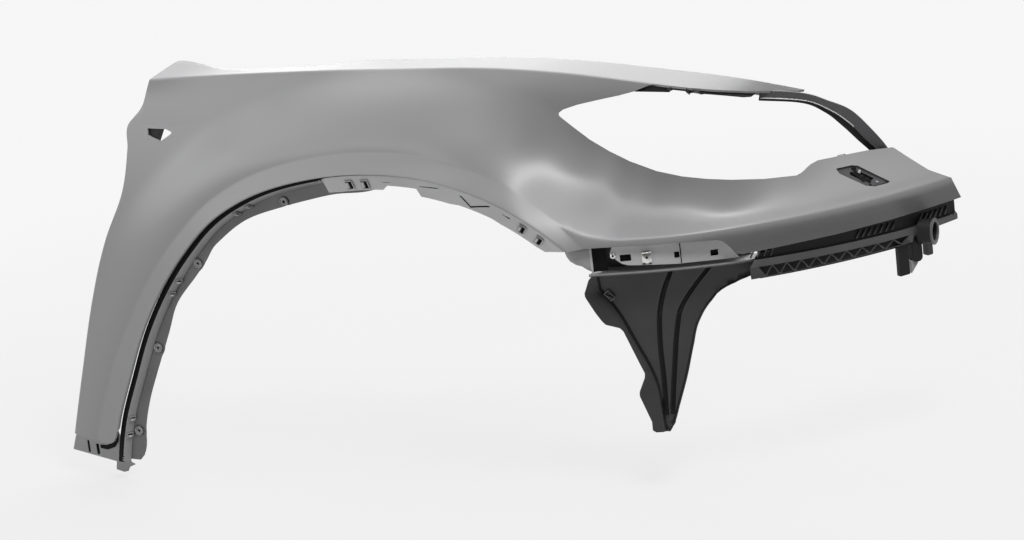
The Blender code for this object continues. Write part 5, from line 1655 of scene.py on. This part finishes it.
HOUSE_REAR_EDGE = [
    (0.3111, 0.3491),
    (0.3088, 0.3278),
    (0.3040, 0.3163),
    (0.2958, 0.3100),
    (0.2925, 0.3060),
    (0.2861, 0.2890),
    (0.2868, 0.2840),
    (0.3072, 0.2488),
    (0.3110, 0.2440),
    (0.3181, 0.2407),
    (0.3270, 0.2365),
    (0.3310, 0.2310),
    (0.3526, 0.1690),
    (0.3522, 0.1630),
    (0.3450, 0.1440),
    (0.3447, 0.1380),
    (0.3556, 0.0988),
    (0.3555, 0.0870),
    (0.3590, 0.0835),
    (0.3738, 0.0812),
]


def front_edge(v):
    heights, places = np.array(HOUSE_FRONT_EDGE).T
    return np.where(v > heights[-1], places[-1] + 0 * v, through(v, HOUSE_FRONT_EDGE))


def channel_share(u, v):
    """1 on the floor of a channel, 0 on the plate."""
    near = np.min([abs(u - through(v, line)) for line in HOUSE_CHANNELS], axis=0)
    ends = smooth_step((v - CHANNEL_LOW) / CHANNEL_FADE) * (v < CHANNEL_TOP + CHANNEL_FADE)
    return np.clip((CHANNEL_HALF - near) / CHANNEL_WALL, 0, 1) * ends


def house_place(u, v):
    behind_fold = through(v, HOUSE_FOLD) - u
    flange = np.clip(behind_fold / HOUSE_FLANGE_WALL, 0, 1)
    proud = HOUSE_FLANGE_PROUD * flange + HOUSE_FLANGE_TURN_SHARE * np.clip(behind_fold, 0, None)
    bead = np.clip(1 - (front_edge(v) - u) / BEAD_WIDE, 0, 1) * (v < HOUSE_FRONT_EDGE[-1][0])
    proud = proud + BEAD_PROUD * np.sqrt(bead) - CHANNEL_DEEP * channel_share(u, v)
    depth = plan_depth(np.maximum(u, CREST_START)) + HOUSE_SET_BACK - proud
    return np.stack([u, depth, v], axis=-1)


# Flange wall, bead and channel floors painted a deeper black as painted shade
def house_shade_marks(u, v):
    wall = (through(v, HOUSE_FOLD) - u > 0) & (through(v, HOUSE_FOLD) - u < HOUSE_FLANGE_WALL)
    bead = (front_edge(v) - u < BEAD_WIDE) & (v < HOUSE_FRONT_EDGE[-1][0])
    return wall | bead | (channel_share(u, v) > CHANNEL_SHADE_SHARE)


def upright_line(table, shift, low, high, count=26):
    v = np.linspace(low, high, count)
    return np.stack([through(v, table) + shift, v], axis=-1)


house_lines = [upright_line(HOUSE_FOLD, shift, 0.0860, 0.3450) for shift in (0.0, -HOUSE_FLANGE_WALL)]
for line in HOUSE_CHANNELS:
    for shift in (-CHANNEL_HALF, CHANNEL_WALL - CHANNEL_HALF, CHANNEL_HALF - CHANNEL_WALL, CHANNEL_HALF):
        house_lines.append(upright_line(line, shift, CHANNEL_LOW + 0.004, CHANNEL_TOP))
for shift in (0.35, 0.7, 1.0):
    house_lines.append(upright_line(HOUSE_FRONT_EDGE, -BEAD_WIDE * shift, 0.0960, 0.2840))
front_heights = np.linspace(HOUSE_FRONT_EDGE[0][0], HOUSE_FRONT_EDGE[-1][0], 40)
house_loop = HOUSE_REAR_EDGE + list(zip(through(front_heights, HOUSE_FRONT_EDGE), front_heights))
house_loop += [(0.4978, 0.2950), (0.4940, 0.3163), (0.4750, 0.3278), (0.4679, 0.3491)]
HOUSE_BLACK = moulded_paint("house_black", (0.014, 0.014, 0.015), (0.034, 0.034, 0.036), 0.44)
DEEP_BLACK = moulded_paint("deep_black", (0.005, 0.005, 0.005), (0.010, 0.010, 0.010), 0.50, 0.25)
sheet(
    "wheelhouse_bracket",
    house_loop,
    house_place,
    HOUSE_WALL,
    HOUSE_FINE,
    [HOUSE_BLACK, DEEP_BLACK],
    (),
    house_lines,
    marks=house_shade_marks,
)


# Edge tab
# Small grey plate hooked on the flange, tilted with its edge, with a pressed middle.
TAB_PLACE = (0.3158, 0.2826)
TAB_TILT = math.radians(-38)
TAB_LONG = 0.0085
TAB_WIDE = 0.0145
TAB_THICK = 0.0018
TAB_CORNER = 0.0010
TAB_FOOT = 0.0030
TAB_TOP = TAB_FOOT + TAB_THICK
# The pressed middle: distance in from the rim, then height
TAB_MIDDLE = [(-0.0018, TAB_TOP), (-0.0024, TAB_TOP + 0.0006)]
spot, along, rise, out = facing(house_place, *TAB_PLACE)
tilted = along * math.cos(TAB_TILT) - rise * math.sin(TAB_TILT)
square = along * math.sin(TAB_TILT) + rise * math.cos(TAB_TILT)
TAB_GREY = moulded_paint("tab_grey", (0.105, 0.105, 0.108), (0.170, 0.170, 0.174), 0.44)
axes = (tilted, square, out)
outline = pill(TAB_LONG, TAB_WIDE, TAB_CORNER)
shells = [plate(outline, TAB_FOOT, TAB_TOP, spot, axes), swept(outline, TAB_MIDDLE, spot, axes, True, 1)]
settle("edge_tab", shells, [TAB_GREY, HOUSE_BLACK])


# Bumper guide rail
# Dark moulding under the arm: a smooth face band over a zig-zag of ribs, a recessed channel with comb teeth
# above it, and a tube boss at the front corner for the pin of the bumper.  The channel is painted near-black
# and the ribs darker than the face band as painted shade, and the tube's front ring paler than its body as
# painted light.
RAIL_CLEAR = 0.0057
RAIL_WALL = 0.0022
RAIL_FINE = 0.0040
BAND_TALL = 0.0100
BAND_STEP = 0.0008
CHANNEL_SUNK = 0.0042
WEB_SUNK = 0.0012
TRUSS_START = 0.5064
TRUSS_END = 0.6757
TRUSS_TOP = (0.3077, 0.3043)
TRUSS_LOW = (0.2926, 0.2943)
TRUSS_CELLS = 20
TRUSS_RIB = 0.0009
RAIL_LOOP = [
    (0.5058, 0.2915),
    (0.6775, 0.2933),
    (0.6790, 0.3012),
    (0.6900, 0.3040),
    (0.7210, 0.3059),
    (0.7210, 0.3382),
    (0.7000, 0.3410),
    (0.6900, 0.3449),
    (0.5440, 0.3449),
    (0.5340, 0.3262),
    (0.5149, 0.3225),
    (0.5058, 0.3080),
]


PROBE = 0.0001


def inset_plan(u, depth, height):
    """Point at a height, a depth inside the outer outline of the car seen from above."""
    run = plan_depth(u + PROBE) - plan_depth(u - PROBE)
    reach = np.hypot(run, 2 * PROBE)
    return np.stack([u - depth * run / reach, plan_depth(u) + depth * 2 * PROBE / reach, height], axis=-1)


def truss_line(u, heights):
    return np.interp(u, (TRUSS_START, TRUSS_END), heights)


def rail_place(u, v):
    over = (v - truss_line(u, TRUSS_TOP) - BAND_TALL) / BAND_STEP
    under = (truss_line(u, TRUSS_TOP) - v) / BAND_STEP
    bar = (v - truss_line(u, TRUSS_LOW)) / BAND_STEP
    sunk = CHANNEL_SUNK * np.clip(over, 0, 1)
    sunk = sunk + WEB_SUNK * np.clip(under, 0, 1) * np.clip(bar, 0, 1) * (u < TRUSS_END)
    return inset_plan(u, RAIL_CLEAR + sunk, v)


# Channel near-black and ribs darker than the face band: painted shade
def rail_shade_marks(u, v):
    over = v > truss_line(u, TRUSS_TOP) + BAND_TALL
    web = (v < truss_line(u, TRUSS_TOP)) & (u < TRUSS_END)
    return np.where(over, 1, np.where(web, 2, 0))


rail_holes = []
for k in range(1, TRUSS_CELLS):
    share = (k + 1) / (TRUSS_CELLS + 1)
    middle = TRUSS_START + (TRUSS_END - TRUSS_START) * share
    half = (TRUSS_END - TRUSS_START) / (TRUSS_CELLS + 1) - TRUSS_RIB
    low, top = float(truss_line(middle, TRUSS_LOW)), float(truss_line(middle, TRUSS_TOP)) - BAND_STEP
    base, apex = (top, low + TRUSS_RIB) if k % 2 else (low, top - TRUSS_RIB)
    rail_holes.append([(middle - half, base), (middle + half, base), (middle, apex)])
rail_ways = np.linspace(TRUSS_START + 0.002, TRUSS_END + 0.040, 50)
rail_lines = [
    np.stack([rail_ways, truss_line(rail_ways, TRUSS_TOP) + rise], axis=1)
    for rise in (0.0, BAND_TALL, BAND_TALL + BAND_STEP)
]
rail_ways = np.linspace(TRUSS_START + 0.001, TRUSS_END, 40)
rail_lines.append(np.stack([rail_ways, truss_line(rail_ways, TRUSS_LOW) - 0.0002], axis=1))
BAND_BLACK = moulded_paint("rail_band_black", (0.050, 0.050, 0.052), (0.085, 0.085, 0.088), 0.42)
RAIL_BLACK = moulded_paint("rail_web_black", (0.028, 0.028, 0.030), (0.048, 0.048, 0.050), 0.46)
sheet(
    "guide_rail",
    RAIL_LOOP,
    rail_place,
    RAIL_WALL,
    RAIL_FINE,
    [BAND_BLACK, DEEP_BLACK, RAIL_BLACK],
    rail_holes,
    rail_lines,
    marks=rail_shade_marks,
)
repaint("rail_backing", DEEP_BLACK)

# Each group of teeth: forward place of the first, pitch and number
TOOTH_GROUPS = [(0.5100, 0.0075, 4), (0.6250, 0.0060, 7), (0.6880, 0.0048, 6)]
TOOTH_FOOT = -0.0005
TOOTH_PROUD = 0.0030
TOOTH_SOFT = 0.0003
TOOTH_LONG = 0.0013
TOOTH_LEAN = math.radians(-32)
TOOTH_TALL = 0.0130
TOOTH_ABOVE = 0.0080
teeth = []
for u in [start + pitch * k for start, pitch, number in TOOTH_GROUPS for k in range(number)]:
    spot, along, rise, out = facing(rail_place, u, float(truss_line(u, TRUSS_TOP)) + BAND_TALL + TOOTH_ABOVE)
    leant = rise * math.cos(TOOTH_LEAN) - along * math.sin(TOOTH_LEAN)
    axes = (np.cross(leant, out), leant, out)
    outline = pill(TOOTH_LONG, TOOTH_TALL, TOOTH_LONG / 3)
    teeth.append(plate(outline, TOOTH_FOOT, TOOTH_PROUD, spot, axes, round_by=TOOTH_SOFT))
settle("guide_rail_teeth", teeth, [RAIL_BLACK], added=True)

TUBE_FACE = np.array((0.700, 0.3262, 0.3035))
TUBE_OUTER = 0.0185
TUBE_WALL = 0.0055
TUBE_LONG = 0.021
TUBE_RING = 0.0022
TUBE_SOFT = 0.0006
BODY_LOWER = 0.0008
BODY_BORE_WIDER = 0.0004
body_rows = [
    (-BODY_LOWER, -TUBE_LONG),
    (-BODY_LOWER, -TUBE_RING),
    (-TUBE_WALL - BODY_BORE_WIDER, -TUBE_RING),
    (-TUBE_WALL - BODY_BORE_WIDER, -TUBE_LONG),
]
ring_rows = [
    (0, -TUBE_RING),
    (0, -TUBE_SOFT),
    (-TUBE_SOFT, 0),
    (-TUBE_WALL + TUBE_SOFT, 0),
    (-TUBE_WALL, -TUBE_SOFT),
    (-TUBE_WALL, -TUBE_RING),
]
tube_axes = ((0, 1, 0), (0, 0, 1), (1, 0, 0))
tube_body = swept(circle(TUBE_OUTER, 64), body_rows, TUBE_FACE, tube_axes)
tube_ring = swept(circle(TUBE_OUTER, 64), ring_rows, TUBE_FACE, tube_axes, False, 1)
# The ring's face is painted paler than the body: painted light on one face of the moulding
paints = [DEEP_BLACK, BAND_BLACK]
settle("guide_rail_tube", [tube_body, tube_ring], paints, smooth=False, added=True)


# Rail leg, pad, stop and stud
# Small black mouldings that hang behind the front end of the rail, clipped on one by one: a flat leg with a
# grey gusset, a rounded stop and a stud.
GUSSET_PLACE = (0.6775, 0.2580)
GUSSET_DEPTHS = (-0.0170, -0.0070)
GUSSET_SOFT = 0.0003
GUSSET = [(0.0, -0.0105), (0.0120, 0.0020), (0.0120, 0.0075), (0.0, 0.0070)]
HANGER_SOFT = 0.0008
# Place on the rail's surface, length and height, corner, depths of the back and the face, finish
HANGERS = {
    "rail_leg": ((0.6700, 0.2700), (0.0168, 0.0440), 0.0010, (-0.0130, -0.0045), DEEP_BLACK),
    "rail_stop": ((0.6832, 0.2800), (0.0165, 0.0350), 0.0060, (-0.0150, -0.0030), DEEP_BLACK),
    "rail_stud": ((0.6950, 0.2755), (0.0110, 0.0180), 0.0020, (-0.0130, -0.0030), RAIL_BLACK),
}
for name, (place, size, corner, depths, paint) in HANGERS.items():
    spot, *axes = facing(rail_place, *place)
    hanger = plate(pill(*size, corner), *depths, spot, axes, round_by=HANGER_SOFT)
    settle(name, [hanger], [paint], smooth=False)
spot, *axes = facing(rail_place, *GUSSET_PLACE)
gusset = plate(GUSSET, *GUSSET_DEPTHS, spot, axes, round_by=GUSSET_SOFT)
settle("leg_pad", [gusset], [RIM_GREY], smooth=False)


# Headlight strap and its lining
# Two curved black layers from the front of the top band down to the arm.  The outer one has a rolled lower
# edge painted pale as a painted highlight, and the lining shows below it as a darker strip.
STRAP_LONG = 0.165
STRAP_WIDE = 0.018
STRAP_WALL = 0.0022
STRAP_FINE = 0.0035
STRAP_DEEPER = 0.0028
STRAP_BEAD = 0.0016
STRAP_BEAD_PROUD = 0.0010
STRAP_BEAD_HIGHLIGHT_SHARE = 0.7
STRAP_HIGHLIGHT_SHARE = 0.62
STRAP_LINE_SHORT = 0.001
# Each row: place along the strap, then forward, inward and upward shares of the arch radius
STRAP_TOP_SHARES = [
    (0.00, 1.050, 0.505, 1.1020),
    (0.08, 1.100, 0.526, 1.0980),
    (0.16, 1.150, 0.546, 1.0880),
    (0.38, 1.227, 0.577, 1.055),
    (0.58, 1.284, 0.598, 1.021),
    (0.76, 1.328, 0.617, 0.966),
    (0.92, 1.3705, 0.630, 0.903),
    (1.00, 1.3785, 0.638, 0.876),
]
STRAP_LOW_SHARES = [
    (0.00, 1.050, 0.505, 1.084),
    (0.08, 1.100, 0.526, 1.076),
    (0.16, 1.150, 0.548, 1.066),
    (0.38, 1.225, 0.577, 1.030),
    (0.58, 1.278, 0.596, 0.983),
    (0.76, 1.313, 0.611, 0.935),
    (0.92, 1.3455, 0.622, 0.896),
    (1.00, 1.3545, 0.628, 0.874),
]
LINING_TOP_SHARES = [
    (0.00, 1.045, 0.506, 1.096),
    (0.16, 1.151, 0.548, 1.072),
    (0.38, 1.227, 0.577, 1.038),
    (0.58, 1.280, 0.597, 0.991),
    (0.76, 1.316, 0.612, 0.944),
    (0.92, 1.3495, 0.623, 0.903),
    (1.00, 1.3585, 0.630, 0.880),
]
LINING_LOW_SHARES = [
    (0.00, 1.040, 0.506, 1.074),
    (0.16, 1.145, 0.546, 1.057),
    (0.38, 1.212, 0.573, 1.020),
    (0.58, 1.256, 0.590, 0.974),
    (0.76, 1.292, 0.605, 0.929),
    (0.92, 1.3225, 0.616, 0.892),
    (1.00, 1.3305, 0.624, 0.872),
]


def strap_surface(top, low, deeper, bead):
    """A strap between an upper and a lower edge; v runs up from the lower one, where the bead stands out."""

    def edge(share, table):
        columns = [through(share, [(row[0], row[k]) for row in table]) for k in (1, 2, 3)]
        return np.stack(columns, axis=-1) * ARCH_RADIUS

    def place(u, v):
        share, across = u / STRAP_LONG, (v / STRAP_WIDE)[..., None]
        point = edge(share, low) * (1 - across) + edge(share, top) * across
        roll = bead * np.clip(1 - (v / STRAP_BEAD) ** 2, 0, 1)
        return point + np.array((0, 1, 0)) * (deeper - roll)[..., None]

    return place


STRAP_BLACK = moulded_paint("strap_black", (0.036, 0.036, 0.038), (0.062, 0.062, 0.065), 0.40)
# Pale grey for painted highlights: the strap's rolled edge and two glints on the washer nozzle
HIGHLIGHT_PALE = moulded_paint("painted_highlight_pale", (0.34, 0.34, 0.34), (0.52, 0.52, 0.52), 0.30)
strap_loop = [(0.0, 0.0), (STRAP_LONG, 0.0), (STRAP_LONG, STRAP_WIDE), (0.0, STRAP_WIDE)]
strap_ends = (STRAP_LINE_SHORT, STRAP_LONG - STRAP_LINE_SHORT)
strap_lines = [[(u, STRAP_BEAD * share) for u in strap_ends] for share in (0.5, 1.0)]
sheet(
    "lamp_strap",
    strap_loop,
    strap_surface(STRAP_TOP_SHARES, STRAP_LOW_SHARES, 0.0, STRAP_BEAD_PROUD),
    STRAP_WALL,
    STRAP_FINE,
    [STRAP_BLACK, HIGHLIGHT_PALE],
    (),
    strap_lines,
    marks=lambda u, v: (v < STRAP_BEAD * STRAP_BEAD_HIGHLIGHT_SHARE) & (u < STRAP_LONG * STRAP_HIGHLIGHT_SHARE),
)
lining_place = strap_surface(LINING_TOP_SHARES, LINING_LOW_SHARES, STRAP_DEEPER, 0.0)
sheet("lamp_strap_lining", strap_loop, lining_place, STRAP_WALL, STRAP_FINE, [DEEP_BLACK])


# Headlight upper bracket
# Black strip clipped under the top band along the upper edge of the headlight opening, with a notch.
LAMP_STRIP_WALL = 0.002
LAMP_STRIP_FINE = 0.005
LAMP_STRIP_CLEAR = 0.0044
LAMP_FOLD = [(0.360, 0.0), (0.494, 0.0)]
# Outline: forward place, then distance inward of the shoulder crease
LAMP_STRIP_SHARES = [
    (0.738, -0.0200),
    (0.770, -0.0262),
    (0.860, -0.0150),
    (0.866, 0.0120),
    (0.896, 0.0150),
    (0.903, -0.0060),
    (0.934, -0.0020),
    (0.944, 0.0130),
    (1.032, 0.0358),
    (1.046, 0.0526),
    (1.046, 0.1053),
    (0.989, 0.1053),
    (0.787, 0.0526),
    (0.752, 0.0200),
]


def behind(place, depth):
    """The same surface moved inward by a depth."""

    def moved(u, v):
        run = place(u + PROBE, v) - place(u - PROBE, v)
        rise = place(u, v + PROBE) - place(u, v - PROBE)
        out = np.cross(run, rise)
        return place(u, v) - depth * out / np.linalg.norm(out, axis=-1, keepdims=True)

    return moved


sheet(
    "lamp_upper_strip",
    shares(LAMP_STRIP_SHARES),
    behind(skin_point, LAMP_STRIP_CLEAR),
    LAMP_STRIP_WALL,
    LAMP_STRIP_FINE,
    [DEEP_BLACK],
    (),
    [LAMP_FOLD],
)


# Headlight washer
# Bezel clipped behind the slanted opening in the arm, black at its rim and grey inside, with a cup behind it
# and a black nozzle with small jets, two of them painted pale as painted highlights.
BEZEL_WALL = 0.0016
BEZEL_FINE = 0.0030
BEZEL_CLEAR = 0.0030
BEZEL_OUTER_SHARE = 1.16
BEZEL_INNER_SHARE = 0.46
BEZEL_STEP_SHARE = 0.94
CUP_CLEAR = 0.0062
CUP_DEEP = 0.020
CUP_TILT = math.radians(-23)
CUP_FLOOR = 0.0024
NOZZLE_BODY = (0.026, 0.0110)
NOZZLE_CORNER = 0.0040
NOZZLE_SOFT = 0.0010
NOZZLE_TOP = -0.0080
JET_FOOT = -0.0100
# Each block of the nozzle: middle, size, height above the body and finish (0 black, 1 pale painted highlight)
JETS = [
    ((-0.0060, 0.0032), (0.0034, 0.0050), 0.0072, 1),
    ((-0.0150, 0.0026), (0.0070, 0.0044), 0.0066, 0),
    ((-0.0080, -0.0018), (0.0130, 0.0060), 0.0068, 0),
    ((0.0030, -0.0014), (0.0090, 0.0080), 0.0066, 0),
    ((0.0115, 0.0004), (0.0080, 0.0056), 0.0064, 0),
    ((0.0175, -0.0038), (0.0040, 0.0020), 0.0062, 0),
    ((0.0240, 0.0048), (0.0034, 0.0022), 0.0062, 1),
]
washer_flat = flat_table(WASHER_SHARES)
washer_middle = (washer_flat.min(axis=0) + washer_flat.max(axis=0)) / 2
washer_rings = [
    washer_middle + (washer_flat - washer_middle) * share
    for share in (BEZEL_OUTER_SHARE, BEZEL_INNER_SHARE, BEZEL_STEP_SHARE)
]
BEZEL_BLACK = moulded_paint("bezel_black", (0.020, 0.020, 0.021), (0.040, 0.040, 0.042), 0.40)
CUP_GREY = moulded_paint("cup_grey", (0.065, 0.065, 0.067), (0.150, 0.150, 0.154), 0.46)
sheet(
    "washer_bezel",
    washer_rings[0],
    behind(skin_point, BEZEL_CLEAR),
    BEZEL_WALL,
    BEZEL_FINE,
    [BEZEL_BLACK, CUP_GREY],
    [washer_rings[1]],
    [np.vstack([washer_rings[2], washer_rings[2][:1]])],
    marks=lambda u, v: inside(np.stack([u, v], axis=1), washer_rings[2]),
)
repaint("washer_cup", CUP_GREY)
spot, along, rise, out = facing(skin_point, *washer_middle)
tilted = along * math.cos(CUP_TILT) + rise * math.sin(CUP_TILT)
square = np.cross(out, tilted)
axes = (tilted, square, out)
body_low = CUP_FLOOR - CUP_CLEAR - CUP_DEEP
body = plate(pill(*NOZZLE_BODY, NOZZLE_CORNER), body_low, NOZZLE_TOP, spot, axes, round_by=NOZZLE_SOFT)
jets = [
    plate(pill(*size, min(size) / 4), JET_FOOT, NOZZLE_TOP + high, spot + tilted * x + square * y, axes, mark)
    for (x, y), size, high, mark in JETS
]
settle("washer_nozzle", [body, *jets], [DEEP_BLACK, HIGHLIGHT_PALE])


# Sill bracket
# Flat grey plate under the rear corner, with two upright slots for the clips of the sill trim, black plates
# behind them as painted shade.  A strip painted black as painted shade lies on it round the lower corner of
# the skin.
SILL_PLANE = 0.0552
SILL_WALL = 0.002
SILL_CLEAR = 0.0006
# Tab beside the door flange: lower height, upper height and width
SILL_TAB = (0.0875, 0.104, 0.026)
SILL_SHARES = [
    (-1.060, 0.170),
    (-1.045, 0.100),
    (-1.020, 0.075),
    (-1.022, 0.028),
    (-1.006, 0.020),
    (-1.030, 0.010),
    (-1.038, -0.004),
    (-1.054, -0.008),
    (-1.082, 0.000),
    (-1.076, 0.027),
    (-1.234, 0.061),
    (-1.215, 0.110),
    (-1.192, 0.114),
    (-1.190, 0.170),
]
# Each slot: place along the car, height, width and length
SILL_SLOTS = [(-0.5566, 0.0350, 0.0036, 0.0185), (-0.5410, 0.0312, 0.0048, 0.0165)]
SLOT_BACK = (-0.0036, -0.0026)
CORNER_SHADE_LOOP = [
    (-0.535, 0.0335),
    (-0.523, 0.0315),
    (-0.5085, 0.0365),
    (-0.5015, 0.0460),
    (-0.4995, 0.0560),
    (-0.4995, 0.0850),
    (-0.5075, 0.0850),
    (-0.5065, 0.0550),
    (-0.5115, 0.0440),
    (-0.5230, 0.0385),
    (-0.535, 0.0385),
]
CORNER_SHADE_RISE = (0.0002, 0.0014)


def sill_place(u, v):
    return np.stack([u, SILL_PLANE + 0 * u, v], axis=-1)


tab_low, tab_top, tab_wide = SILL_TAB
tab_ends = [float(rear_edge(height)) + SKIN_WALL + SILL_CLEAR for height in (tab_low, tab_top)]
sill_tab = [
    (tab_ends[0], tab_low),
    (tab_ends[1], tab_top),
    (tab_ends[1] + tab_wide, tab_top),
    (tab_ends[1] + tab_wide, SILL_SHARES[0][1] * ARCH_RADIUS),
]
sill_loop = np.vstack([shares(SILL_SHARES), sill_tab])
sill_holes = [(u, v) + pill(wide, long, wide / 4) for u, v, wide, long in SILL_SLOTS]
sheet("sill_bracket", sill_loop, sill_place, SILL_WALL, RIM_FINE, [RIM_GREY], sill_holes)
for count, (u, v, wide, long) in enumerate(SILL_SLOTS, 1):
    spot, *axes = facing(sill_place, u, v)
    # Black plate behind the slot as painted shade
    cover = slab(pill(2 * wide, long + wide, wide / 4), *SLOT_BACK, spot, axes)
    settle(f"sill_slot_back_{count}", [cover], [SHADE_BLACK], added=True)
# Strip painted black as painted shade round the skin's lower corner
spot, *axes = facing(sill_place, *CORNER_SHADE_LOOP[0])
corner_shade = plate(np.array(CORNER_SHADE_LOOP) - CORNER_SHADE_LOOP[0], *CORNER_SHADE_RISE, spot, axes)
settle("sill_corner_shade", [corner_shade], [SHADE_BLACK], smooth=False, added=True)


# Side indicator socket
# Black holder behind the rear part of the indicator opening.  Its front end is open, so that light comes
# through there.
SOCKET_TOP_SHARE = 0.54
SOCKET_LOW_SHARE = 0.26
SOCKET_BEYOND = 0.0040
SOCKET_DEPTHS = (-0.0140, -0.0037)
opening = flat_table(INDICATOR_SHARES)
(left, low), (right, top) = opening.min(axis=0), opening.max(axis=0)
socket_loop = [
    (left - SOCKET_BEYOND, low - SOCKET_BEYOND),
    (left + (right - left) * SOCKET_LOW_SHARE, low - SOCKET_BEYOND),
    (left + (right - left) * SOCKET_TOP_SHARE, top + SOCKET_BEYOND),
    (left - SOCKET_BEYOND, top + SOCKET_BEYOND),
]
middle = np.array(((left + right) / 2, (low + top) / 2))
spot, *axes = facing(skin_point, *middle)
socket = plate(np.array(socket_loop) - middle, *SOCKET_DEPTHS, spot, axes)
settle("indicator_socket", [socket], [DEEP_BLACK], smooth=False)
